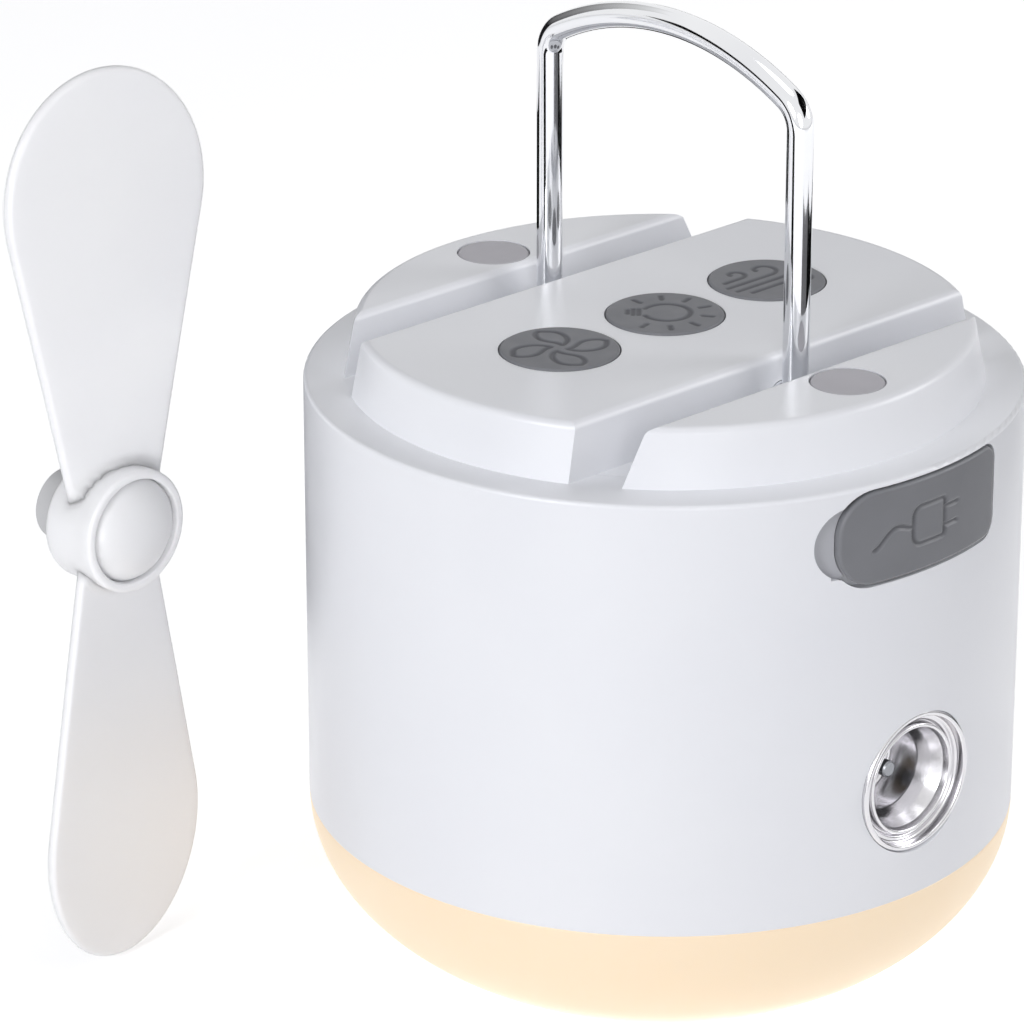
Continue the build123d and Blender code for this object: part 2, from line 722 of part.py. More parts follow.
def saddle(radius, y):
    """An upright plate across the chassis, hollowed to hold a cylinder along Y."""
    half = saddle_thick / 2
    plate = block(-radius, radius, y - half, y + half, chassis_top_z, port_z - saddle_drop)
    return plate - rod(radius + run_gap, half - y, -half - y)


def at_motor(piece):
    return Pos(0, -(motor_face_y + motor_back_y) / 2, 0) * piece


def at_cell(piece):
    return Pos(0, cell_y, 0) * Rot(0, 0, quarter_turn) * piece


def make_chassis():
    chassis = disc(chassis_radius, chassis_z, chassis_top_z)
    for y in (-motor_length / 2 + saddle_thick, motor_length / 2 - saddle_thick):
        chassis += at_motor(saddle(motor_radius, y))
    for y in (-cell_saddle_x, cell_saddle_x):
        chassis += at_cell(saddle(cell_radius, y))
    for pad in strap_pads(motor_radius):
        chassis += at_motor(pad)
    for pad in strap_pads(cell_radius):
        chassis += at_cell(pad)
    for x, y in post_places:
        chassis -= disc(small_screw_radius + slip_gap, chassis_z, chassis_top_z, x, y)
    for x, y in lamp_screw_places:
        chassis += disc(board_boss_radius, lamp_board_z + lamp_board_thick, chassis_z, x, y)
        chassis -= disc(small_screw_radius + screw_gap, lamp_board_z, lamp_board_z + lamp_screw_length, x, y)
    return chassis


def make_cell():
    can = Rot(0, quarter_turn, 0) * Cylinder(cell_radius, cell_length)
    cap = Pos(cell_length / 2, 0, 0) * Rot(0, quarter_turn, 0) * Cylinder(
        cell_cap_radius, cell_cap_length, align=(Align.CENTER, Align.CENTER, Align.MIN))
    can = fillet(can.edges(), key_edge)
    return Pos(0, cell_y, port_z) * (can + cap)


# ---- lamp board
def make_lamp_board():
    board = disc(lamp_board_radius, lamp_board_z, lamp_board_z + lamp_board_thick)
    for x, y in lamp_screw_places:
        board -= disc(small_screw_radius + slip_gap, lamp_board_z, lamp_board_z + lamp_board_thick, x, y)
    return board


def make_leds():
    half = led_side / 2
    one = block(led_circle - half, led_circle + half, -half, half, lamp_board_z - led_thick, lamp_board_z)
    return [Rot(0, 0, index * full_turn / led_count) * one for index in range(led_count)]


# ---- propeller, about the origin with its axis along Y and its front towards -Y
def blade():
    """One blade, pointing up: a twisted sheet trimmed to an egg-shaped outline."""
    tip_half = blade_tip_radius - blade_widest_radius
    tip = Pos(0, blade_widest_radius) * Ellipse(blade_width / 2, tip_half)
    root = Pos(0, blade_root_radius) * Rectangle(blade_root_width, blade_thick)
    outline = make_hull(tip.edges() + root.edges())
    prism = extrude(Plane((0, blade_width, 0), x_dir=(1, 0, 0), z_dir=(0, -1, 0)) * outline, 2 * blade_width)
    sections = []
    for station in range(blade_stations):
        share = station / (blade_stations - 1)
        pitch = blade_root_angle + (blade_tip_angle - blade_root_angle) * share
        section = Rot(0, 0, -pitch) * Rectangle(blade_width + blade_root_width, blade_thick)
        sections.append(Pos(0, 0, share * blade_tip_radius + blade_margin * (2 * share - 1)) * section)
    return prism & loft(sections)


def cap_body(radius, depth):
    """A low dome on a short skirt, standing in the barrel's mouth."""
    side = EllipticalCenterArc((0, -cap_seat - cap_skirt), radius, depth - cap_skirt,
                               start_angle=-quarter_turn, arc_size=quarter_turn)
    foot, middle = (radius, -cap_seat), (0, -cap_seat)
    outline = Wire([side.edges()[0], Edge.make_line(side @ 1, foot), Edge.make_line(foot, middle),
                    Edge.make_line(middle, side @ 0)])
    return revolve(Face(outline), Axis.Y)


def make_cap():
    return cap_body(cap_radius, cap_depth) - cap_body(cap_radius - cap_wall, cap_depth - cap_wall)


def make_propeller():
    barrel = rod(hub_radius, hub_front, -hub_back, z=0)
    barrel = fillet(barrel.edges().sort_by(Axis.Y)[0], hub_edge)
    propeller = barrel + blade() + Rot(0, full_turn / 2, 0) * blade()
    propeller -= rod(cap_radius + slip_gap, hub_front, cap_seat, z=0)
    return propeller - rod(bush_radius, cap_seat, -hub_back, z=0)


def make_boss():
    boss = rod(boss_radius, -hub_back, -hub_back - boss_length, z=0)
    boss = chamfer(boss.edges().sort_by(Axis.Y)[-1], boss_edge)
    return boss - rod(bush_radius, -hub_back, -hub_back - boss_length, z=0)


def make_bush():
    return rod(bush_radius, cap_seat, -hub_back - boss_length, z=0) - rod(
        bush_bore_radius, cap_seat, -hub_back - boss_length, z=0)


def at_propeller(piece):
    return Pos(propeller_x, propeller_y, propeller_z) * Rot(0, 0, propeller_turn) * piece


# ---- the nodes
nodes = {
    "housing_shell": make_shell(),
    "top_deck": make_deck(),
    "diffuser_dome": make_diffuser(),
    "dome_gasket": make_gasket(),
    "bail_handle": make_bail(),
    "switch_bodies": make_switches(),
    "screw_plugs": [make_plug(side) for side in (-1, 1)],
    "deck_screws": [make_deck_screw(side) for side in (-1, 1)],
    "socket_cover": make_cover(),
    "cover_anchor": make_anchor(),
    "fan_port": make_port(),
    "main_board": make_board(),
    "board_components": make_components(),
    "board_screws": [small_screw(board_screw_bite, x, y, board_z) for x, y in board_screw_places],
    "usb_a_socket": make_socket(usb_a_x, usb_a_width, usb_a_height, usb_a_depth),
    "usb_c_socket": make_socket(usb_c_x, usb_c_width, usb_c_height, usb_c_depth),
    "inner_chassis": make_chassis(),
    "chassis_screws": [small_screw(post_screw_length, x, y, chassis_z) for x, y in post_places],
    "motor_can": make_can(),
    "motor_end_bell": make_end_bell(),
    "motor_bushings": make_bushings(),
    "motor_magnets": make_magnets(),
    "motor_brushes": make_brushes(),
    "motor_shaft": make_shaft(),
    "rotor_core": make_rotor_core(),
    "rotor_windings": make_windings(),
    "commutator": make_commutator(),
    "motor_strap": at_motor(make_strap(motor_radius)),
    "motor_strap_screws": [at_motor(one) for one in strap_screws(motor_radius)],
    "battery_cell": make_cell(),
    "battery_strap": at_cell(make_strap(cell_radius)),
    "battery_strap_screws": [at_cell(one) for one in strap_screws(cell_radius)],
    "lamp_board": make_lamp_board(),
    "lamp_leds": make_leds(),
    "lamp_board_screws": [small_screw(lamp_screw_length, x, y, lamp_board_z) for x, y in lamp_screw_places],
    "propeller_blades": at_propeller(make_propeller()),
    "propeller_cap": at_propeller(make_cap()),
    "propeller_boss": at_propeller(make_boss()),
    "propeller_bush": at_propeller(make_bush()),
}
for name, place in key_places.items():
    nodes[name + "_button"] = make_key(place)
    nodes[name + "_plunger"] = make_plunger(place)

os.makedirs("parts", exist_ok=True)
for node, shape in nodes.items():
    solids = [solid for piece in (shape if isinstance(shape, list) else [shape]) for solid in piece.solids()]
    export_step(Compound(solids) if len(solids) > 1 else solids[0], f"parts/{node}.step")
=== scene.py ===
import math

import bmesh
import bpy
import numpy as np
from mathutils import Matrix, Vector


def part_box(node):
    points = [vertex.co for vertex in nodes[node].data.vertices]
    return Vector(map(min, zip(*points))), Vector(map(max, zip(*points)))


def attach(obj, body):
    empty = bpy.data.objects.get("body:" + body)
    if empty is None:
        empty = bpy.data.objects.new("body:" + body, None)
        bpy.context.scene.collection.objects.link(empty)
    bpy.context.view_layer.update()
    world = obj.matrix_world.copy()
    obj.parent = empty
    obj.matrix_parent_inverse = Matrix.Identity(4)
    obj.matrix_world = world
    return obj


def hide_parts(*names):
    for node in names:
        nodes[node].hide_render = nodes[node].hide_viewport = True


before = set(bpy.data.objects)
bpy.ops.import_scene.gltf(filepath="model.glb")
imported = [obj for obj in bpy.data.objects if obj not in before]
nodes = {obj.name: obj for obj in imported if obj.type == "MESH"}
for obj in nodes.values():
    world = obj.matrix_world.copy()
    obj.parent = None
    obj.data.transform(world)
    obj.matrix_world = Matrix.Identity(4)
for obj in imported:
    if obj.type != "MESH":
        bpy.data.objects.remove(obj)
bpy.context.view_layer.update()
mm = 0.001          # shapes are worked out in millimetres
doubleGap = 2e-7    # metres: points closer than this are one
markSteep = 1.25    # how square the walls of a sunk line are
finishes = {}
print("frame loaded:", len(nodes), "solids")


# ---- mesh helpers

def gridFaces(rows, columns):
    # quads between neighbouring rows; the last column joins the first
    start = np.arange(rows - 1)[:, None] * columns
    here = np.arange(columns)[None, :]
    there = (here + 1) % columns
    quads = [start + here, start + there, start + columns + there, start + columns + here]
    return np.stack(quads, axis=-1).reshape(-1, 4)


def linked(name, data):
    # a new object, put in the scene
    made = bpy.data.objects.new(name, data)
    bpy.context.scene.collection.objects.link(made)
    return made


def addPiece(name, points, faces, body, slot=None, stands=(), sharp=35, mark=None, finish=None):
    # doubles are merged, so that seams and poles close; mark is one number a point, read by the finish;
    # finish is for the piece whose plastic the record has no slot for
    mesh = bpy.data.meshes.new(name)
    mesh.from_pydata((np.asarray(points, float) * mm).tolist(), [], np.asarray(faces).tolist())
    if mark is not None:
        layer = mesh.attributes.new("mark", "FLOAT", "POINT")
        layer.data.foreach_set("value", np.asarray(mark, np.float32).ravel())
    work = bmesh.new()
    work.from_mesh(mesh)
    bmesh.ops.remove_doubles(work, verts=work.verts, dist=doubleGap)
    bmesh.ops.recalc_face_normals(work, faces=work.faces)
    work.to_mesh(mesh)
    work.free()
    mesh.polygons.foreach_set("use_smooth", np.ones(len(mesh.polygons), bool))
    mesh.set_sharp_from_angle(angle=math.radians(sharp))
    mesh.materials.append(finishes[finish or slot])
    piece = linked(name, mesh)
    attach(piece, body)
    if stands:
        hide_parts(*stands)


def roundedLine(corners, radii, steps=6):
    # every corner becomes an arc tangent to both its sides: centre = corner + r / sin(half) along the bisector;
    # radius 0 keeps the corner, as at both ends of an open line
    corners = np.asarray(corners, float)
    parts = []
    for index, radius in enumerate(radii):
        if radius == 0:
            parts.append(corners[index:index + 1])
            continue
        before = corners[index - 1] - corners[index]
        after = corners[(index + 1) % len(corners)] - corners[index]
        before, after = before / np.linalg.norm(before), after / np.linalg.norm(after)
        half = math.acos(float(np.clip(before @ after, -1, 1))) / 2
        bisector = (before + after) / np.linalg.norm(before + after)
        centre = corners[index] + bisector * radius / math.sin(half)
        first = corners[index] + before * radius / math.tan(half) - centre
        last = corners[index] + after * radius / math.tan(half) - centre
        start = math.atan2(first[1], first[0])
        sweep = math.atan2(first[0] * last[1] - first[1] * last[0], first @ last)
        turn = start + sweep * np.linspace(0, 1, steps + 1)
        parts.append(centre + radius * np.stack([np.cos(turn), np.sin(turn)], axis=-1))
    return np.concatenate(parts)


def closedLine(line):
    return np.concatenate([line, line[:1]])


def evenRun(line, count):
    # count points at even steps along a closed line
    line = closedLine(line)
    run = np.concatenate([[0], np.cumsum(np.linalg.norm(np.diff(line, axis=0), axis=1))])
    even = np.linspace(0, run[-1], count, endpoint=False)
    return np.stack([np.interp(even, run, line[:, 0]), np.interp(even, run, line[:, 1])], axis=-1)


def turned(outline, steps, origin=(0, 0, 0), along=(0, 0, 1), side=(1, 0, 0)):
    # (radius, height) pairs turned round an axis: point = origin + h along + r (cos a side + sin a third)
    along, side = np.array(along, float), np.array(side, float)
    third = np.cross(along, side)
    turn = np.linspace(0, 2 * math.pi, steps, endpoint=False)[None, :, None]
    outline = np.asarray(outline, float)
    radius, height = outline[:, 0, None, None], outline[:, 1, None, None]
    points = np.array(origin, float) + height * along + radius * (np.cos(turn) * side + np.sin(turn) * third)
    return points.reshape(-1, 3), gridFaces(len(outline), steps)


def capped(rings):
    # a tube of rings, both ends closed by a ring drawn in to its own middle
    ends = [np.broadcast_to(rings[end].mean(axis=0), rings[0].shape)[None] for end in (0, -1)]
    rings = np.concatenate([ends[0], rings, ends[1]])
    return rings.reshape(-1, 3), gridFaces(len(rings), rings.shape[1])


def joined(shapes):
    # several (points, faces) pairs as one
    parts, faces, count = [], [], 0
    for points, quads in shapes:
        parts.append(points)
        faces.append(quads + count)
        count += len(points)
    return np.concatenate(parts), np.concatenate(faces)


def distanceTo(points, line):
    # shortest distance from each point to a run of straight pieces: |p - a - t (b - a)|, t held to 0..1
    best = np.full(len(points), 1e9)
    for a, b in zip(line[:-1], line[1:]):
        step = b - a
        share = np.clip(((points - a) @ step) / max(step @ step, 1e-12), 0, 1)
        best = np.minimum(best, np.linalg.norm(points - a - share[:, None] * step, axis=1))
    return best


def shrunk(plan, s, middle=(0, 0)):
    # rings of a plan from its middle outwards, closer together near the edge, and each point's way in
    bend = np.sin(np.linspace(s["edgeFrom"], math.pi / 2, s["edgeRings"]))
    share = np.concatenate([np.linspace(0, s["broad"], s["rings"]), s["broad"] + (1 - s["broad"]) * bend])
    flat = (np.array(middle) + share[:, None, None] * (plan - middle)).reshape(-1, 2)
    inset = distanceTo(flat, closedLine(plan))
    inset[-len(plan):] = 0
    return flat, inset


def edgeFall(inset, edge):
    # drop of a quarter-round edge: edge - sqrt(edge^2 - (edge - inset)^2), nothing further in
    past = np.clip(edge - inset, 0, edge)
    return edge - np.sqrt(edge ** 2 - past ** 2)


def lineMark(points, lines, s):
    # 1 on a mark's lines and 0 from s["line"] mm on: steep (1 - distance / line), held to 0..1 and eased
    way = np.min([distanceTo(points, s["markScale"] * line) for line in lines], axis=0)
    value = np.clip(markSteep * (1 - way / s["line"]), 0, 1)
    return value * value * (3 - 2 * value)


# ---- material helpers

def linear(hexColour):
    # an sRGB hex value as linear light
    value = np.array([int(hexColour[i:i + 2], 16) for i in (1, 3, 5)]) / 255
    return (*np.where(value <= 0.04045, value / 12.92, ((value + 0.055) / 1.055) ** 2.4).tolist(), 1.0)


def clearTree(owner):
    # the emptied node tree of a material or world
    owner.use_nodes = True
    owner.node_tree.nodes.clear()
    return owner.node_tree


def add(tree, kind, settings={}, links={}):
    # adds one node, sets its values and joins its inputs
    made = tree.nodes.new(kind)
    for key, value in settings.items():
        if isinstance(key, str) and hasattr(made, key):
            setattr(made, key, value)
        else:
            made.inputs[key].default_value = value
    for key, source in links.items():
        tree.links.new(source, made.inputs[key])
    return made


def noise(tree, place, size, detail):
    # soft blotches of size mm
    return add(tree, "ShaderNodeTexNoise", {"Scale": 1000 / size, "Detail": detail},
               {"Vector": place}).outputs["Fac"]


def waves(tree, place, axis, pitch, waver=0.0):
    # ridges along one axis, pitch mm apart: the node repeats every pi / (10 scale)
    return add(tree, "ShaderNodeTexWave", {"wave_type": "BANDS", "bands_direction": axis, "Detail": 1.0,
               "Scale": 1000 * math.pi / 10 / pitch, "Distortion": waver}, {"Vector": place}).outputs["Fac"]


def ranged(tree, value, low, high, start=0.0, stop=1.0, kind="LINEAR"):
    # low..high becomes start..stop, held at both ends
    return add(tree, "ShaderNodeMapRange", {"interpolation_type": kind, "From Min": low, "From Max": high,
               "To Min": start, "To Max": stop}, {"Value": value}).outputs["Result"]


def mixed(tree, share, first, second):
    # first at share 0, second at share 1; each is a hex value or a node's output
    settings, links = {"data_type": "RGBA"}, {0: share}
    for key, colour in ((6, first), (7, second)):
        if isinstance(colour, str):
            settings[key] = linear(colour)
        else:
            links[key] = colour
    return add(tree, "ShaderNodeMix", settings, links).outputs[2]


def raised(tree, height, deep, under=None):
    # relief deep mm high, on top of the relief under it
    links = {"Height": height, "Normal": under} if under else {"Height": height}
    return add(tree, "ShaderNodeBump", {"Strength": 1.0, "Distance": deep * mm}, links).outputs["Normal"]


def timesOf(tree, first, second):
    # product of two outputs, or of an output and a number
    if isinstance(second, float):
        return add(tree, "ShaderNodeMath", {"operation": "MULTIPLY", 1: second}, {0: first}).outputs[0]
    return add(tree, "ShaderNodeMath", {"operation": "MULTIPLY"}, {0: first, 1: second}).outputs[0]


def makeFinish(name, colour, shade, toneMm, rough, roughSpread, smudgeMm, grainMm, grainDeep,
               stretch=(1, 1, 1), shader={}, ridges=None, weave=None, grooveShade=None, glow=None, fleck=None):
    # colour drifts to shade over toneMm, roughness over smudgeMm, and grain of grainMm stands grainDeep mm high
    material = finishes[name] = bpy.data.materials.new(name)
    tree = clearTree(material)
    place = add(tree, "ShaderNodeTexCoord").outputs["Object"]
    place = add(tree, "ShaderNodeMapping", {"Scale": stretch}, {"Vector": place}).outputs["Vector"]
    low, high = 0.3, 0.7   # the part of the noise's range that holds nearly all of it
    paint = mixed(tree, ranged(tree, noise(tree, place, toneMm, 3.0), low, high), colour, shade)
    dull = ranged(tree, noise(tree, place, smudgeMm, 4.0), low, high, rough - roughSpread, rough + roughSpread)
    relief = raised(tree, noise(tree, place, grainMm, 2.0), grainDeep)
    if fleck:   # small crystals or granules: cells of fleck["size"] mm, each with its own tone
        cells = add(tree, "ShaderNodeTexVoronoi", {"Scale": 1000 / fleck["size"]}, {"Vector": place})
        grey = add(tree, "ShaderNodeSeparateColor", {}, {"Color": cells.outputs["Color"]}).outputs["Red"]
        paint = mixed(tree, ranged(tree, grey, 1 - fleck["share"], 1.0), paint, fleck["colour"])
    if ridges:   # turns, sheets or lay lines, ridges["pitch"] mm apart, darker between them
        lines = waves(tree, place, ridges["axis"], ridges["pitch"], ridges.get("waver", 0.0))
        relief = raised(tree, lines, ridges["deep"], relief)
        paint = mixed(tree, ranged(tree, lines, 0.0, 0.5, ridges["dark"], 0.0), paint, ridges["colour"])
    if weave:   # glass cloth under the mask: two sets of threads, weave["pitch"] mm apart, seen faintly
        warp, weft = (waves(tree, place, axis, weave["pitch"]) for axis in ("X", "Y"))
        cloth = timesOf(tree, warp, weft)
        relief = raised(tree, cloth, weave["deep"], relief)
        paint = mixed(tree, timesOf(tree, cloth, weave["share"]), paint, weave["colour"])
    if grooveShade:   # painted shade: the sunk lines of a mark are drawn darker, as the shade that falls in them
        mark = add(tree, "ShaderNodeAttribute", {"attribute_name": "mark"}).outputs["Fac"]
        paint = mixed(tree, mark, paint, grooveShade)
    surface = add(tree, "ShaderNodeBsdfPrincipled", {"Metallic": 0.0, "IOR": 1.5, **shader},
                  {"Base Color": paint, "Roughness": dull, "Normal": relief})
    if glow:
        glow(tree, surface)
    add(tree, "ShaderNodeOutputMaterial", {}, {"Surface": surface.outputs["BSDF"]})


def lampGlow(tree, surface):
    # light inside the dome: peach at the seam, where the wall is deep, and near white below, over the lamp chips
    place = add(tree, "ShaderNodeTexCoord").outputs["Object"]
    height = add(tree, "ShaderNodeSeparateXYZ", {}, {"Vector": place}).outputs["Z"]
    climb = ranged(tree, height, domeSet["glowFrom"] * mm, domeSet["glowTo"] * mm, kind="SMOOTHSTEP")
    light = mixed(tree, climb, domeSet["lowLight"], domeSet["seamLight"])
    tree.links.new(light, surface.inputs["Emission Color"])
    surface.inputs["Emission Strength"].default_value = domeSet["glow"]


# ---- finishes

domeSet = {"offset": 4.0, "side": 38.5, "deep": 24.0, "radius": 42.5, "wall": 2.0, "seam": 23.476, "lip": 40.15,
           "lipIn": 38.75, "lipTop": 26.976, "lipLow": 20.476, "edge": 0.25, "outerFrom": 0.012, "outerRings": 60,
           "innerTo": 0.13, "innerRings": 30, "steps": 256,
           "glow": 0.66, "glowFrom": 1.5, "glowTo": 11.0, "lowLight": "#FFFFFF", "seamLight": "#B8A486"}

# numbers of a finish, as in makeFinish: tone mm, roughness, its spread, smudge mm, grain mm, grain's height mm

# ABS, moulded in a lightly textured tool: satin white with a broad soft highlight
makeFinish("white_abs", "#F1F2F5", "#EEEFF3", 30, 0.33, 0.03, 9, 0.35, 0.0015)
# the same plastic coloured grey as painted shade, for the insert in the finger notch: the shade that falls in its
# scoop
makeFinish("notch_shade_abs", "#BEBFC3", "#B9BABF", 30, 0.4, 0.03, 9, 0.35, 0.0015)
# polycarbonate with a diffusing filler, moulded, satin: milky, lit from inside; its base colour is tinted peach as
# painted light, the warm lamplight from inside
makeFinish("frosted_polycarbonate", "#DBCBB5", "#DAC9B2", 25, 0.42, 0.04, 7, 0.4, 0.002,
           shader={"IOR": 1.58, "Subsurface Weight": 0.3, "Subsurface Radius": (0.004, 0.003, 0.002)},
           glow=lampGlow)
# foamed silicone seal, die-cut: matt, fine pores
makeFinish("soft_seal", "#D9D8D6", "#CFCECC", 3, 0.8, 0.05, 2, 0.3, 0.02)
# bright steel wire, polished and chrome plated: mirror with a trace of haze
makeFinish("chromed_wire", "#EDEEF0", "#E6E7EA", 18, 0.07, 0.02, 5, 1.2, 0.0006, shader={"Metallic": 1.0})
# ABS, plated bright over copper and nickel: mirror with slight moulding waves
makeFinish("chromed_plastic", "#E0DFE1", "#D6D5D8", 6, 0.21, 0.04, 3, 1.6, 0.012, shader={"Metallic": 1.0})
# silicone rubber, pressed and then marked: soft matt grey, marks a little darker as painted shade in their sunk
# lines
makeFinish("key_silicone", "#7D7E82", "#797A7E", 6, 0.55, 0.05, 3, 0.16, 0.004,
           shader={"IOR": 1.41}, grooveShade="#505156")
makeFinish("plug_silicone", "#BFBDC2", "#BAB8BD", 5, 0.55, 0.05, 3, 0.16, 0.004,
           shader={"IOR": 1.41}, grooveShade="#8B888C")
makeFinish("cover_silicone", "#7D7E82", "#797A7E", 8, 0.42, 0.05, 3, 0.16, 0.004,
           shader={"IOR": 1.41, "Sheen Weight": 0.5, "Sheen Roughness": 0.35}, grooveShade="#606165")
# polypropylene, thin and translucent, moulded with a semi-gloss face
makeFinish("propeller_plastic", "#EEEEEF", "#EBEBED", 20, 0.34, 0.04, 8, 0.5, 0.003,
           shader={"IOR": 1.49, "Subsurface Weight": 0.7, "Subsurface Scale": 1.0,
                   "Subsurface Radius": (0.003, 0.003, 0.003)})
makeFinish("boss_plastic", "#CFCFD0", "#CACACB", 8, 0.4, 0.04, 4, 0.4, 0.003, shader={"IOR": 1.49})
# natural rubber sleeve: dull, dark
makeFinish("bush_rubber", "#3A3938", "#32312F", 2, 0.75, 0.06, 1.5, 0.3, 0.01, shader={"IOR": 1.52})
# glass-filled nylon, moulded: dark, a little glossy, fibres just under the skin
makeFinish("switch_plastic", "#2B2C2E", "#242527", 3, 0.45, 0.06, 2, 0.3, 0.004)
makeFinish("component_plastic", "#1F2022", "#27282A", 2, 0.5, 0.08, 1.5, 0.2, 0.006)
# carbon steel screw, bright zinc: slightly blue, turned heads with fine rings
makeFinish("screw_steel", "#C4C7CC", "#B7BAC0", 1.5, 0.3, 0.06, 1.0, 0.25, 0.003, shader={"Metallic": 1.0},
           ridges={"axis": "Z", "pitch": 0.5, "deep": 0.02, "dark": 0.25, "colour": "#8C8F94"})
# glass cloth and epoxy, green solder mask: the weave shows faintly
makeFinish("board_laminate", "#1F5B3A", "#1B5233", 6, 0.35, 0.05, 4, 0.4, 0.002,
           weave={"pitch": 0.5, "deep": 0.01, "colour": "#2E7A4E", "share": 0.5})
# white solder mask on aluminium-backed laminate: reflects the lamp chips' light
makeFinish("lamp_laminate", "#EDEEE9", "#E6E7E2", 6, 0.4, 0.05, 4, 0.4, 0.002,
           weave={"pitch": 0.5, "deep": 0.006, "colour": "#FAFAF6", "share": 0.4})
# drawn and tin-plated steel socket shells: satin, lines along the draw
makeFinish("socket_steel", "#C9C8C4", "#BEBDB9", 2, 0.28, 0.06, 1.5, 0.3, 0.002, stretch=(1, 0.15, 1),
           shader={"Metallic": 1.0})
# ABS, moulded in a plain spark-eroded tool: dull grey-white, finely pitted
makeFinish("chassis_abs", "#D6D7D6", "#CECFCF", 12, 0.55, 0.05, 6, 0.3, 0.008)
# deep-drawn nickel-plated steel can: long fine lines down its side
makeFinish("motor_steel", "#B9BABB", "#ABACAD", 4, 0.3, 0.06, 2, 0.3, 0.003, stretch=(1, 0.08, 1),
           shader={"Metallic": 1.0})
# nylon end bell, moulded in natural colour: waxy off-white
makeFinish("bell_plastic", "#E5E1D3", "#DEDACB", 5, 0.45, 0.05, 3, 0.3, 0.004, shader={"IOR": 1.53})
# sintered bronze, oil filled: small open pores
makeFinish("bushing_bronze", "#5E5347", "#51473C", 1, 0.5, 0.08, 0.8, 0.2, 0.012, shader={"Metallic": 1.0},
           fleck={"size": 0.2, "share": 0.25, "colour": "#4A3D2E"})
# pressed ferrite, fired: near black, matt, with tiny chips
makeFinish("magnet_ferrite", "#35353A", "#2B2B30", 2, 0.65, 0.06, 1.5, 0.3, 0.01,
           fleck={"size": 0.35, "share": 0.15, "colour": "#4A4A50"})
# carbon and copper powder, pressed: dark with bright specks
makeFinish("brush_carbon", "#2E2B29", "#383431", 0.8, 0.5, 0.08, 0.6, 0.15, 0.006,
           fleck={"size": 0.15, "share": 0.18, "colour": "#8A5D3B"})
# ground and polished shaft steel: rings round it, too fine to show, so they are drawn 0.15 mm apart
makeFinish("shaft_steel", "#9A9CA0", "#8F9195", 2, 0.26, 0.03, 1.0, 0.4, 0.001, shader={"Metallic": 1.0},
           ridges={"axis": "Y", "pitch": 0.15, "deep": 0.002, "dark": 0.12, "colour": "#9EA1A6"})
# silicon-steel sheets, punched and stacked: 0.5 mm sheets show at the edge
makeFinish("core_steel", "#8E9093", "#828487", 2, 0.4, 0.06, 1.5, 0.3, 0.003, shader={"Metallic": 1.0},
           ridges={"axis": "Y", "pitch": 0.5, "deep": 0.03, "dark": 0.7, "colour": "#3C3D40"})
# enamelled copper wire, wound: turns 0.35 mm apart, glossy red-brown
makeFinish("winding_copper", "#B5622F", "#9C4F22", 1.2, 0.25, 0.05, 1.0, 0.25, 0.004, shader={"Metallic": 1.0},
           ridges={"axis": "Y", "pitch": 0.35, "deep": 0.08, "dark": 0.8, "colour": "#4A2412", "waver": 0.3})
# heat-shrunk PVC film over the cell: glossy blue with soft puckers at its ends
makeFinish("cell_sleeve", "#2F6FB2", "#2A66A6", 8, 0.25, 0.05, 4, 2.5, 0.05,
           shader={"IOR": 1.53, "Coat Weight": 0.4})
# silicone with yellow phosphor over the lamp chips
makeFinish("led_phosphor", "#F3DE7A", "#EBD266", 1, 0.35, 0.05, 0.8, 0.2, 0.01,
           shader={"IOR": 1.43, "Emission Color": linear("#FFE9B0"), "Emission Strength": 0.6})
print("finishes made:", len(finishes))

for solid in nodes.values():
    for spot in solid.material_slots:
        spot.material = finishes[spot.material.name.split(".")[0]]


# ---- dome: outer ellipse, flat foot, wall and lip, turned as one closed section

def makeDome(s):
    # outer side: r = offset + side cos t, z = seam - deep sin t, until z = 0; the inner side is less by the wall
    t = np.linspace(s["outerFrom"], math.asin(s["seam"] / s["deep"]), s["outerRings"])
    outer = np.stack([s["offset"] + s["side"] * np.cos(t), s["seam"] - s["deep"] * np.sin(t)], axis=-1)
    rim = roundedLine([(s["lip"], s["seam"]), (s["radius"], s["seam"]), outer[0]], [0, s["edge"], 0])[:-1]
    low = math.asin((s["seam"] - s["wall"]) / (s["deep"] - s["wall"]))
    t = np.linspace(low, s["innerTo"], s["innerRings"])
    inner = np.stack([s["offset"] + (s["side"] - s["wall"]) * np.cos(t),
                      s["seam"] - (s["deep"] - s["wall"]) * np.sin(t)], axis=-1)
    lip = [(s["lip"], s["lipTop"]), (s["lipIn"], s["lipTop"]), (s["lipIn"], s["lipLow"])]
    outline = np.concatenate([[(0, 0)], outer[::-1], rim[::-1], lip, inner[::-1], [(0, s["wall"])]])
    addPiece("frosted_dome", *turned(outline, s["steps"]), "housing", "frosted_polycarbonate", ["diffuser_dome"])


makeDome(domeSet)
print("dome made")


# ---- bail: a round wire carried along pin, bend, leg, bend, arch and back

bailSet = {"x": 0.8, "pivot": 78.476, "leg": 20.6, "footBend": 2.2, "pin": 4.2, "archRadius": 39.0,
           "archZ": 79.976, "bend": 4.0, "wire": 1.55, "around": 48, "fine": 0.35}


def arcLine(centre, radius, start, stop, step):
    count = max(3, int(abs(stop - start) * radius / step))
    turn = np.linspace(start, stop, count)
    return np.stack([centre[0] + radius * np.cos(turn), centre[1] + radius * np.sin(turn)], axis=-1)


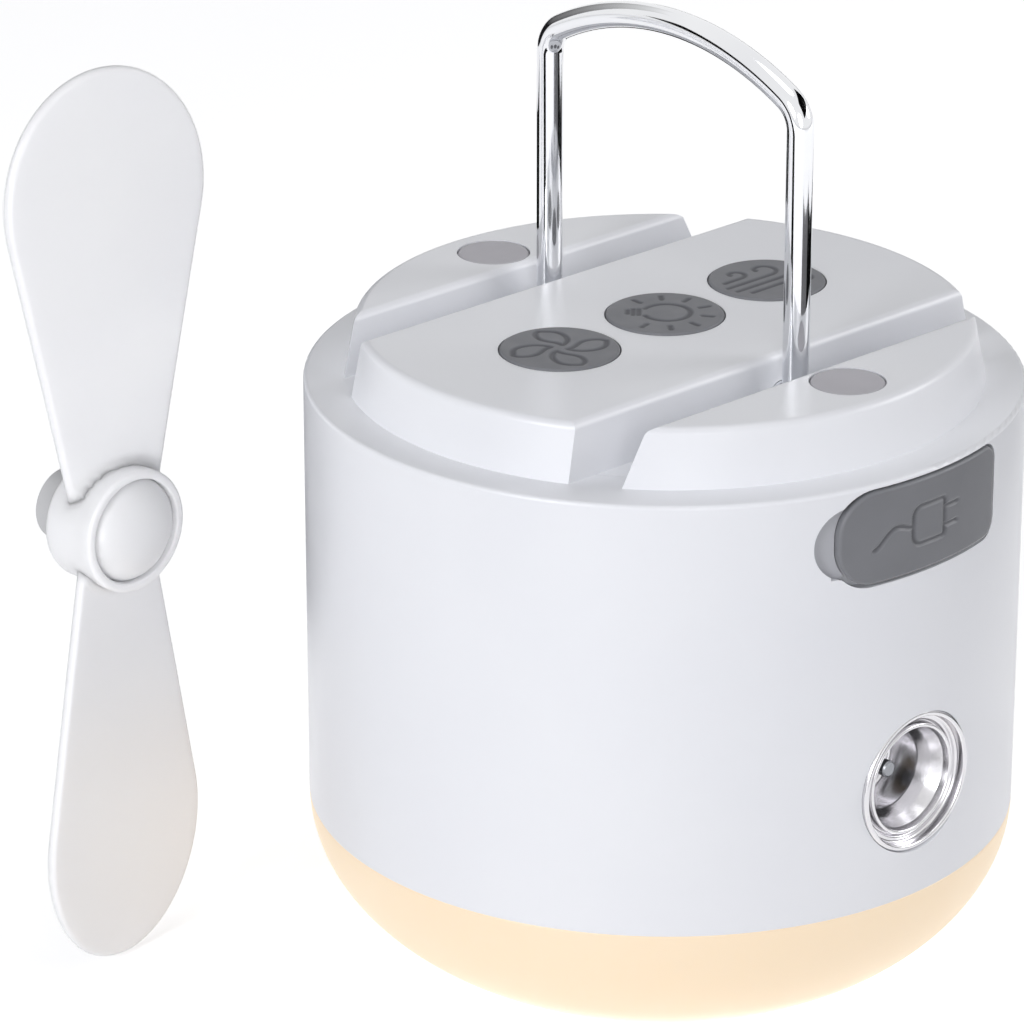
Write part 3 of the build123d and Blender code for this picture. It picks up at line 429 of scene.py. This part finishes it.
def makeBail(s):
    # the path lies in one plane, so each ring = path + wire (cos a inward + sin a x), inward square to the path
    bendY = s["leg"] - s["bend"]
    bendZ = s["archZ"] + math.sqrt((s["archRadius"] - s["bend"]) ** 2 - bendY ** 2)
    lean = math.atan2(bendZ - s["archZ"], bendY)
    footY, footZ = s["leg"] - s["footBend"], s["pivot"] + s["footBend"]
    half = np.concatenate([
        [(footY - s["pin"], s["pivot"])],
        arcLine((footY, footZ), s["footBend"], -math.pi / 2, 0, s["fine"]),
        arcLine((bendY, bendZ), s["bend"], 0, lean, s["fine"]),
        arcLine((0, s["archZ"]), s["archRadius"], lean, math.pi / 2, s["fine"])[1:]])
    path = np.concatenate([half, (half * (-1, 1))[-2::-1]])
    way = np.gradient(path, axis=0)
    way /= np.linalg.norm(way, axis=1)[:, None]
    inward = np.stack([-way[:, 1], way[:, 0]], axis=-1)
    turn = np.linspace(0, 2 * math.pi, s["around"], endpoint=False)
    flat = path[:, None, :] + s["wire"] * np.cos(turn)[None, :, None] * inward[:, None, :]
    across = np.broadcast_to(s["x"] + s["wire"] * np.sin(turn), flat.shape[:2])
    rings = np.concatenate([across[..., None], flat], axis=-1)
    addPiece("wire_bail", *capped(rings), "bail", "chromed_wire", ["bail_handle"], sharp=50)


makeBail(bailSet)
print("bail made")


# ---- fan port: rim, step, second rim, groove and funnel, turned about the port's axis

portSet = {"z": 37.6, "mouth": 42.2, "steps": 192, "cornerSteps": 8, "section": (
    (3.15, 8.9, 0), (4.8, 8.9, 0.4), (4.8, 4.6, 0.8), (5.45, 3.1, 1.5), (6.15, 1.7, 0.5), (6.3, 0.8, 0.2),
    (6.75, 0.8, 0.2), (6.8, 1.9, 0.08), (7.0, 1.9, 0.08), (7.1, 1.3, 0.3), (7.9, 1.3, 0.35), (7.9, 0, 0.25),
    (8.6, 0, 0.3), (8.6, 1.6, 0.1), (7.2, 1.6, 0.2), (7.2, 10.2, 0.2), (3.15, 10.2, 0.1), (3.15, 8.9, 0))}


def makePort(s):
    # the section's values: radius, depth behind the mouth, rounding of the corner; depth runs inward along +y
    section = np.array(s["section"])
    outline = roundedLine(section[:, :2], section[:, 2], s["cornerSteps"])
    points, faces = turned(outline, s["steps"], (0, -s["mouth"], s["z"]), (0, 1, 0), (0, 0, 1))
    addPiece("port_funnel", points, faces, "housing", "chromed_plastic", ["fan_port"])


makePort(portSet)
print("port made")


# ---- keys: a round silicone cap whose mark is a sunk line

keySet = {"radius": 7.0, "pitch": 17.0, "top": 83.676, "edge": 0.35, "low": 81.126, "flange": 8.0,
          "flangeThick": 0.8, "stem": 2.2, "stemLow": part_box("fan_button")[0][2] / mm, "line": 0.504, "sunk": 0.16,
          "markScale": 1.14, "across": 70, "around": 420, "edgeFrom": 0.15, "edgeRings": 9}
fanSet = {"petals": 4, "from": 0.9, "reach": 4.3, "turn": 0.5, "swing": 0.75, "wide": 1.35, "lean": 1.3,
          "blunt": 0.75, "steps": 17}
lampSet = {"x": 0.25, "bulb": 2.45, "from": 160, "to": 470, "steps": 32, "capAt": 135,
           "cap": ((2.9, 0.85), (3.45, 0.85), (4.0, 0.5)), "rayX": 0.1, "rayFrom": 3.9, "rayTo": 4.9,
           "rays": (-128, -92, -56, -20, 16, 52, 88, 196)}
windSet = {"gusts": ((-5.0, 0.7, 1.6, 1.6, 1), (-4.9, -0.6, 2.9, 1.5, -1), (-4.2, 2.0, -1.6, 1.15, 1)),
           "turn": 250, "shrink": 0.12, "steps": 22, "straight": ((-4.0, -1.9), (0.4, -1.9))}


def fanMark(s):
    # petals round a small hub: a middle line that swings as it runs out, widened both ways by a sine
    lines = []
    u = np.linspace(0, 1, s["steps"])
    reach = s["from"] + s["reach"] * u
    for petal in range(s["petals"]):
        a = petal * 2 * math.pi / s["petals"] + s["turn"] + s["swing"] * np.sin(math.pi / 2 * u)
        line = np.stack([reach * np.cos(a), reach * np.sin(a)], axis=-1)
        way = np.gradient(line, axis=0)
        way /= np.linalg.norm(way, axis=1)[:, None]
        wide = s["wide"] * np.sin(math.pi * u ** s["lean"]) ** s["blunt"]
        out = np.stack([-way[:, 1], way[:, 0]], axis=-1) * wide[:, None]
        lines.append(np.concatenate([line + out, (line - out)[::-1]]))
    return lines


def lampMark(s):
    # an open ring for the bulb, short bars for its cap, and rays round it
    turn = np.linspace(math.radians(s["from"]), math.radians(s["to"]), s["steps"])
    lines = [np.stack([s["x"] + s["bulb"] * np.cos(turn), s["bulb"] * np.sin(turn)], axis=-1)]
    a = math.radians(s["capAt"])
    for reach, half in s["cap"]:
        middle = np.array([s["x"] + reach * math.cos(a), reach * math.sin(a)])
        way = half * np.array([-math.sin(a), math.cos(a)])
        lines.append(np.array([middle - way, middle + way]))
    for a in np.radians(s["rays"]):
        ends = s["rayFrom"], s["rayTo"]
        lines.append(np.array([[s["rayX"] + r * math.cos(a), r * math.sin(a)] for r in ends]))
    return lines


def windMark(s):
    # gusts: a straight run from start that curls at stop, its radius shrinking as it turns; up is the curl's side
    lines = []
    turn = np.linspace(0, math.radians(s["turn"]), s["steps"])
    for start, middle, stop, size, up in s["gusts"]:
        reach = size * (1 - s["shrink"] * turn)
        curl = np.stack([stop + reach * np.sin(turn), middle + up * (size - reach * np.cos(turn))], axis=-1)
        lines.append(np.concatenate([[(start, middle)], curl]))
    lines.append(np.array(s["straight"]))
    return lines


def makeKey(s, name, x, lines):
    # top over a polar grid: z = top - fall of the rolled edge - sunk times mark; flange and stem below it
    bend = np.sin(np.linspace(s["edgeFrom"], math.pi / 2, s["edgeRings"]))
    thin = s["edge"] / s["radius"]
    radius = s["radius"] * np.concatenate([np.linspace(0, 1 - thin, s["across"]), 1 - thin * (1 - bend)])
    turn = np.linspace(0, 2 * math.pi, s["around"], endpoint=False)
    flat = np.stack([radius[:, None] * np.cos(turn), radius[:, None] * np.sin(turn)], axis=-1).reshape(-1, 2)
    mark = lineMark(flat, lines, s)
    fall = edgeFall(s["radius"] - radius, s["edge"])
    height = s["top"] - np.repeat(fall, s["around"]) - s["sunk"] * mark
    top = np.concatenate([flat + (x, 0), height[:, None]], axis=1)
    under = s["low"] - s["flangeThick"]
    below = np.array([(s["radius"], s["top"] - s["edge"]), (s["radius"], s["low"]), (s["flange"], s["low"]),
                      (s["flange"], under), (s["stem"], under), (s["stem"], s["stemLow"]), (0, s["stemLow"])])
    rest = np.stack([x + below[:, :1] * np.cos(turn), below[:, :1] * np.sin(turn),
                     np.repeat(below[:, 1:], s["around"], axis=1)], axis=-1).reshape(-1, 3)
    faces = gridFaces(len(radius) + len(below), s["around"])
    key = name.split("_")[0]
    addPiece(name, np.concatenate([top, rest]), faces, key + "_key", "key_silicone", [key + "_button"], sharp=60,
             mark=np.concatenate([mark, np.zeros(len(rest))]))


for name, x, lines in (("fan_cap", -keySet["pitch"], fanMark(fanSet)), ("lamp_cap", 0, lampMark(lampSet)),
                       ("wind_cap", keySet["pitch"], windMark(windSet))):
    makeKey(keySet, name, x, lines)
print("keys made")


# ---- screw plugs: shallow discs with a rounded edge and a dished middle

plugSet = {"radius": 4.3, "y": 29.626, "top": 83.426, "thick": 2.4, "edge": 0.3, "dish": 0.12, "dishTo": 3.82,
           "rings": 14, "steps": 96}


def makePlugs(s):
    # z = top - dish (1 - (r / radius)^2) inside, closed below
    r = np.linspace(0, s["dishTo"], s["rings"])
    dish = np.stack([r, s["top"] - s["dish"] * (1 - (r / s["radius"]) ** 2)], axis=-1)
    low = s["top"] - s["thick"]
    edge = roundedLine([dish[-1], (s["radius"], s["top"]), (s["radius"], low)], [0, s["edge"], 0])
    outline = np.concatenate([dish, edge[1:], [(0, low)]])
    points, faces = joined([turned(outline, s["steps"], (0, side * s["y"], 0)) for side in (-1, 1)])
    addPiece("soft_plugs", points, faces, "housing", "plug_silicone", ["screw_plugs"])


makePlugs(plugSet)
print("plugs made")


# ---- socket cover: a plate bent to the wall, its edge rolled over, a plain plug mark pressed in

coverSet = {"half": 13.05, "shift": 0.24, "z": 70.076, "high": 11.3, "square": 2.2, "round": 5.0, "outer": 42.69,
            "thick": 1.6, "edge": 0.45, "sunk": 0.24, "line": 0.46, "markScale": 1.35, "around": 640, "rings": 46,
            "broad": 0.9, "edgeFrom": 0.08, "edgeRings": 20}
plugMarkSet = {"half": 1.9, "halfHigh": 1.7, "leadCorner": 0.9, "prongCorner": 0.3, "around": 60,
               "prongs": (-0.85, 0.85), "prongTo": 3.5, "lead": 4.2, "wave": 1.15, "bends": 1.5, "steps": 16}


def roundedPlate(halfLong, halfHigh, leftRadius, rightRadius, count, steps=24):
    # even points round a rectangle with two corner radii, counterclockwise
    corners = [(-halfLong, -halfHigh), (halfLong, -halfHigh), (halfLong, halfHigh), (-halfLong, halfHigh)]
    return evenRun(roundedLine(corners, [leftRadius, rightRadius, rightRadius, leftRadius], steps), count)


def plugMark(s):
    # a generic plug: a body, its prongs and a curved lead
    body = roundedPlate(s["half"], s["halfHigh"], s["leadCorner"], s["prongCorner"], s["around"])
    prongs = [np.array([[s["half"], y], [s["prongTo"], y]]) for y in s["prongs"]]
    u = np.linspace(0, 1, s["steps"])
    lead = np.stack([-s["half"] - s["lead"] * u, s["wave"] * np.sin(u * math.pi * s["bends"]) * u], axis=-1)
    return [closedLine(body), *prongs, lead]


def makeCover(s):
    # plan shrinks in rings towards its middle; r = outer - edge fall - sunk mark; angle = along / outer
    plan = roundedPlate(s["half"], s["high"] / 2, s["round"], s["square"], s["around"])
    flat, inset = shrunk(plan, s)
    mark = lineMark(flat, plugMark(plugMarkSet), s)
    depth = s["outer"] - edgeFall(inset, s["edge"]) - s["sunk"] * mark
    back = np.full(len(plan), s["outer"] - s["thick"])
    outerRing = flat[-len(plan):]
    flat = np.concatenate([flat, outerRing, outerRing * 0])
    depth = np.concatenate([depth, back, back])
    mark = np.concatenate([mark, back * 0, back * 0])
    turn = (flat[:, 0] + s["shift"]) / s["outer"]
    points = np.stack([depth * np.sin(turn), -depth * np.cos(turn), s["z"] + flat[:, 1]], axis=-1)
    faces = gridFaces(len(flat) // len(plan), len(plan))
    addPiece("socket_flap", points, faces, "cover", "cover_silicone", ["socket_cover"], sharp=60, mark=mark)


makeCover(coverSet)
print("cover made")


# ---- window rim: the strip of wall that closes the sockets' window past the cover's round end

rimSet = {"section": ((-1.2, 40.6), (-1.2, 41.0), (0.1, 41.0), (0.1, 41.74), (2.6, 41.74), (2.6, 40.6)),
          "steps": 90, "from": 140, "to": 220}


def makeWindowRim(s, c):
    # each corner of the section: how far the round end's outline is carried outwards, and its way from the axis
    far, flatHalf = c["half"] - c["round"] - c["shift"], c["high"] / 2 - c["round"]
    turn = np.radians(np.linspace(s["from"], s["to"], s["steps"]))
    rows = []
    for out, reach in s["section"]:
        size = c["round"] + out
        along = (size * np.cos(turn) - far) / c["outer"]
        high = c["z"] + size * np.sin(turn) + flatHalf * np.sign(np.sin(turn))
        rows.append(np.stack([reach * np.sin(along), -reach * np.cos(along), high], axis=-1))
    points, faces = capped(np.stack(rows, axis=1))
    # its lip lines the finger notch and is coloured grey: painted shade of the notch's scoop
    addPiece("window_rim", points, faces, "housing", sharp=30, finish="notch_shade_abs")


makeWindowRim(rimSet, coverSet)
print("window rim made")


# ---- propeller: twisted blades with rolled edges, a barrel with a ring-shaped lip, a low cap inside the lip

propSet = {"hub": (-48.2, 43.9, 57.3), "turn": 2.5, "tip": 56.7, "widest": 41.0, "width": 27.2, "rootWidth": 11.9,
           "rootZ": 2.3, "middleZ": 30.0, "thick": 1.4, "thinnest": 0.02, "pitchRoot": 5.9, "pitchTip": 8.6,
           "margin": 1.5, "barrel": 7.6, "front": 4.0, "back": 4.1, "seat": 1.6, "mouth": 6.45, "mouthRoom": 0.4,
           "barrelCorners": (0, 0.1, 0.3, 0.5, 0.7, 0.1, 0), "bush": 2.2, "blend": 1.1, "blendFade": 0.8,
           "capRadius": 6.4, "capSkirt": 0.9, "capDeep": 4.0, "capWall": 1.2, "capRings": 48, "turns": 160,
           "tipSteps": 220, "around": 320, "rings": 40, "broad": 0.93, "edgeFrom": 0.06, "edgeRings": 16}


def placeHub(points, s):
    # turned about the upright line through the hub, then moved to the hub
    a = math.radians(s["turn"])
    x, y, z = points.T
    return np.stack([x * math.cos(a) - y * math.sin(a), x * math.sin(a) + y * math.cos(a), z], axis=-1) + s["hub"]


def bladePlan(s):
    # straight sides from the root, tangent to the tip's half ellipse
    halfWide, halfLong = s["width"] / 2, s["tip"] - s["widest"]
    a, b = s["rootWidth"] / 2 / halfWide, (s["rootZ"] - s["widest"]) / halfLong
    start = math.acos(1 / math.hypot(a, b)) - math.atan2(-b, a)
    t = np.linspace(start, math.pi - start, s["tipSteps"])
    tip = np.stack([halfWide * np.cos(t), s["widest"] + halfLong * np.sin(t)], axis=-1)
    root = [(-s["rootWidth"] / 2, s["rootZ"]), (s["rootWidth"] / 2, s["rootZ"])]
    return evenRun(np.concatenate([root, tip]), s["around"])


def blade(s):
    # y = -x tan(pitch(z)) -+ half thickness, which rolls off at the outline and is measured square to the blade
    plan = bladePlan(s)
    flat, inset = shrunk(plan, s, (0, s["middleZ"]))
    rise = s["pitchTip"] - s["pitchRoot"]
    pitch = np.radians(s["pitchRoot"] + rise * (flat[:, 1] + s["margin"]) / (s["tip"] + 2 * s["margin"]))
    half = (s["thick"] / 2 - edgeFall(inset, s["thick"] / 2)) / np.cos(pitch)
    fromAxis = np.linalg.norm(flat, axis=1)
    near = np.clip((s["barrel"] + s["blend"] - fromAxis) / s["blend"], 0, 1)   # a hollow corner at the barrel
    hollow = s["blend"] * (1 - np.sqrt(1 - near ** 2)) * np.minimum(inset / s["blendFade"], 1)
    middle = -flat[:, 0] * np.tan(pitch)
    inMouth = fromAxis < s["mouth"] + s["mouthRoom"]   # here the blade stays behind the cap
    frontY = np.where(inMouth, np.maximum(middle - half, 0), middle - half - hollow)
    backY = np.maximum(middle + half, frontY + s["thinnest"])
    front, back = (np.stack([flat[:, 0], y, flat[:, 1]], axis=-1).reshape(-1, len(plan), 3)
                   for y in (frontY, backY))
    back[-1] = front[-1]
    return np.concatenate([front, back[::-1]]).reshape(-1, 3), gridFaces(2 * len(front), len(plan))


def makePropeller(s):
    corners = [(s["bush"], -s["seat"]), (s["mouth"], -s["seat"]), (s["mouth"], -s["front"]),
               (s["barrel"], -s["front"]), (s["barrel"], s["back"]), (s["bush"], s["back"]),
               (s["bush"], -s["seat"])]
    outline = roundedLine(corners, s["barrelCorners"])
    barrel = turned(outline, s["turns"], along=(0, 1, 0), side=(0, 0, 1))
    upper, faces = blade(s)
    points, faces = joined([(upper, faces), (upper * (-1, 1, -1), faces), barrel])
    addPiece("blade_pair", placeHub(points, s), faces, "propeller", "propeller_plastic", ["propeller_blades"],
             sharp=50)


def makeCap(s):
    # a straight skirt, then r = capRadius cos t, depth = skirt + dome sin t; inner the same less the wall
    t = np.linspace(0, math.pi / 2, s["capRings"])
    low, inRadius = s["seat"] + s["capSkirt"], s["capRadius"] - s["capWall"]
    deep = s["capDeep"] - s["capSkirt"]
    outer = np.stack([s["capRadius"] * np.cos(t), -low - deep * np.sin(t)], axis=-1)
    inner = np.stack([inRadius * np.cos(t), -low - (deep - s["capWall"]) * np.sin(t)], axis=-1)
    foot = [(inRadius, -s["seat"]), (s["capRadius"], -s["seat"])]
    outline = np.concatenate([inner[::-1], foot, outer])
    points, faces = turned(outline, s["turns"], along=(0, 1, 0), side=(0, 0, 1))
    addPiece("hub_cap", placeHub(points, s), faces, "propeller", "propeller_plastic", ["propeller_cap"])


makePropeller(propSet)
makeCap(propSet)
print("propeller made")


# ---- stage: pale floor, soft lamps, camera

stageSet = {"floor": "#F4F4F5", "floorShade": "#F2F2F3", "floorHalf": 3.0, "cloudScale": 3.0, "lift": 0.56,
            "room": "#F8F9FC", "ambient": 0.2, "napScale": 400.0, "napShare": 0.3,
            "camera": (-0.42090, -0.42585, 0.30589), "aim": (0.00098, 0.02738, 0.04996), "lens": 191.4}


def flatPiece(name, corners, material):
    mesh = bpy.data.meshes.new(name)
    mesh.from_pydata(corners, [], [(0, 1, 2, 3)])
    mesh.materials.append(material)
    return linked(name, mesh)


def seenRays(tree):
    # 1 for camera, glossy and transmission rays, 0 for all others
    path = add(tree, "ShaderNodeLightPath").outputs
    seen = path["Is Camera Ray"]
    for kind in ("Is Glossy Ray", "Is Transmission Ray"):
        seen = add(tree, "ShaderNodeMath", {"operation": "MAXIMUM"}, {0: seen, 1: path[kind]}).outputs[0]
    return seen


def makeFloor(s):
    # matt white paint that also shows as the white backdrop
    material = bpy.data.materials.new("painted_floor")
    tree = clearTree(material)
    place = add(tree, "ShaderNodeTexCoord").outputs["Object"]
    cloud = add(tree, "ShaderNodeTexNoise", {"Scale": s["cloudScale"]}, {"Vector": place}).outputs["Fac"]
    paint = mixed(tree, cloud, s["floor"], s["floorShade"])
    matt = add(tree, "ShaderNodeBsdfDiffuse", {}, {"Color": paint}).outputs[0]
    lift = timesOf(tree, seenRays(tree), s["lift"])
    white = add(tree, "ShaderNodeEmission", {"Color": (1, 1, 1, 1)}, {"Strength": lift}).outputs[0]
    both = add(tree, "ShaderNodeAddShader", {}, {0: matt, 1: white}).outputs[0]
    add(tree, "ShaderNodeOutputMaterial", {}, {"Surface": both})
    h = s["floorHalf"]
    floor = flatPiece("floor", [(-h, -h, 0), (h, -h, 0), (h, h, 0), (-h, h, 0)], material)


def makeWorld(s):
    # soft even room light; camera, glossy and transmission rays see a white backdrop of strength 1
    world = bpy.data.worlds.new("studio")
    bpy.context.scene.world = world
    tree = clearTree(world)
    room = add(tree, "ShaderNodeBackground", {"Color": linear(s["room"]), "Strength": s["ambient"]}).outputs[0]
    back = add(tree, "ShaderNodeBackground", {"Color": (1, 1, 1, 1), "Strength": 1.0}).outputs[0]
    either = add(tree, "ShaderNodeMixShader", {}, {0: seenRays(tree), 1: room, 2: back}).outputs[0]
    add(tree, "ShaderNodeOutputWorld", {}, {"Surface": either})


def makeLamp(name, azimuth, elevation, distance, size, power, colour, about=(0, 0, 50), only=()):
    # azimuth as seen from above, 0 along -y, 90 along +x; a lamp with pieces in only lights those alone
    a, e = math.radians(azimuth), math.radians(elevation)
    back = Vector((math.sin(a) * math.cos(e), -math.cos(a) * math.cos(e), math.sin(e)))
    light = bpy.data.lights.new(name, "AREA")
    light.shape, light.size, light.energy, light.color = "DISK", size, power, linear(colour)[:3]
    lamp = linked(name, light)
    lamp.location = Vector(about) * mm + back * distance
    lamp.rotation_mode = "QUATERNION"
    lamp.rotation_quaternion = back.to_track_quat("Z", "Y")
    lamp.visible_camera = False
    if only:
        lit = bpy.data.collections.new(name + "Lit")
        for piece in only:
            lit.objects.link(bpy.data.objects[piece])
        lamp.light_linking.receiver_collection = lit


def makeCamera(s):
    data = bpy.data.cameras.new("view")
    data.lens, data.sensor_width, data.clip_start, data.clip_end = s["lens"], 36.0, 0.01, 20.0
    camera = linked("view", data)
    camera.location = s["camera"]
    camera.rotation_mode = "QUATERNION"
    camera.rotation_quaternion = (Vector(s["aim"]) - Vector(s["camera"])).to_track_quat("-Z", "Y")
    bpy.context.scene.camera = camera


def makeCard(name, corners, colour, fade=None):
    # a board of felt, matt with an uneven nap, that only mirrors show, to give the chrome its streaks;
    # it thins out between the two heights of fade
    material = bpy.data.materials.new(name + "_felt")
    tree = clearTree(material)
    place = add(tree, "ShaderNodeTexCoord").outputs["Object"]
    nap = add(tree, "ShaderNodeTexNoise", {"Scale": stageSet["napScale"]}, {"Vector": place}).outputs["Fac"]
    felt = add(tree, "ShaderNodeMix", {"data_type": "RGBA", "blend_type": "MULTIPLY", 0: stageSet["napShare"],
               6: linear(colour)}, {7: nap}).outputs[2]
    surface = add(tree, "ShaderNodeBsdfDiffuse", {}, {"Color": felt}).outputs[0]
    if fade:
        height = add(tree, "ShaderNodeSeparateXYZ", {}, {"Vector": place}).outputs["Z"]
        clear = add(tree, "ShaderNodeBsdfTransparent").outputs[0]
        thin = ranged(tree, height, *fade)
        surface = add(tree, "ShaderNodeMixShader", {}, {0: thin, 1: surface, 2: clear}).outputs[0]
    add(tree, "ShaderNodeOutputMaterial", {}, {"Surface": surface})
    card = flatPiece(name, corners, material)
    card.visible_camera = card.visible_diffuse = card.visible_shadow = card.visible_transmission = False


def standing(azimuthFrom, azimuthTo, reach, low, high):
    # corners of an upright board between two azimuths, reach metres from the origin's upright line
    ends = [(reach * math.sin(a), -reach * math.cos(a)) for a in np.radians((azimuthFrom, azimuthTo))]
    return [(*ends[0], low), (*ends[1], low), (*ends[1], high), (*ends[0], high)]


makeFloor(stageSet)
makeWorld(stageSet)
makeCard("edgeBoard", standing(136, 206, 0.15, 0.0, 0.07), "#0C0C0C")
makeCard("archBoard", standing(156, 202, 0.15, 0.08, 0.27), "#262628", fade=(0.12, 0.27))
makeCard("rimBoard", standing(116, 135, 0.2, 0.05, 0.11), "#1C1C1C")
makeCard("bendBoard", standing(2, 86, 0.12, 0.145, 0.235), "#0C0C0C")
makeCard("sideBoard", standing(34, 96, 0.2, 0.0, 0.045), "#101010")
makeCard("greyBoard", standing(-10, 34, 0.2, 0.0, 0.045), "#A2A2A4")
makeCard("thinBar", [(-0.190, 0.012, 0.0), (-0.190, -0.060, 0.0), (-0.231, 0.2075, 0.232),
                     (-0.189, 0.2075, 0.173)], "#101010")
makeLamp("leftSoftbox", -80, 20, 1.2, 0.5, 6.5, "#FBFCFF")
makeLamp("frontSoftbox", -35, 15, 1.2, 0.6, 2.7, "#FCFCFF")
makeLamp("rightSoftbox", 55, 25, 1.2, 0.6, 4.4, "#FDFDFF")
makeLamp("topSoftbox", 0, 85, 1.2, 0.6, 1.7, "#FFFFFF")
makeLamp("hubSoftbox", -40, -8, 0.27, 0.06, 0.2, "#FFFFFF", about=propSet["hub"],
         only=("blade_pair", "hub_cap"))
makeCamera(stageSet)
bpy.context.scene.view_settings.view_transform = "Standard"
print("stage made")
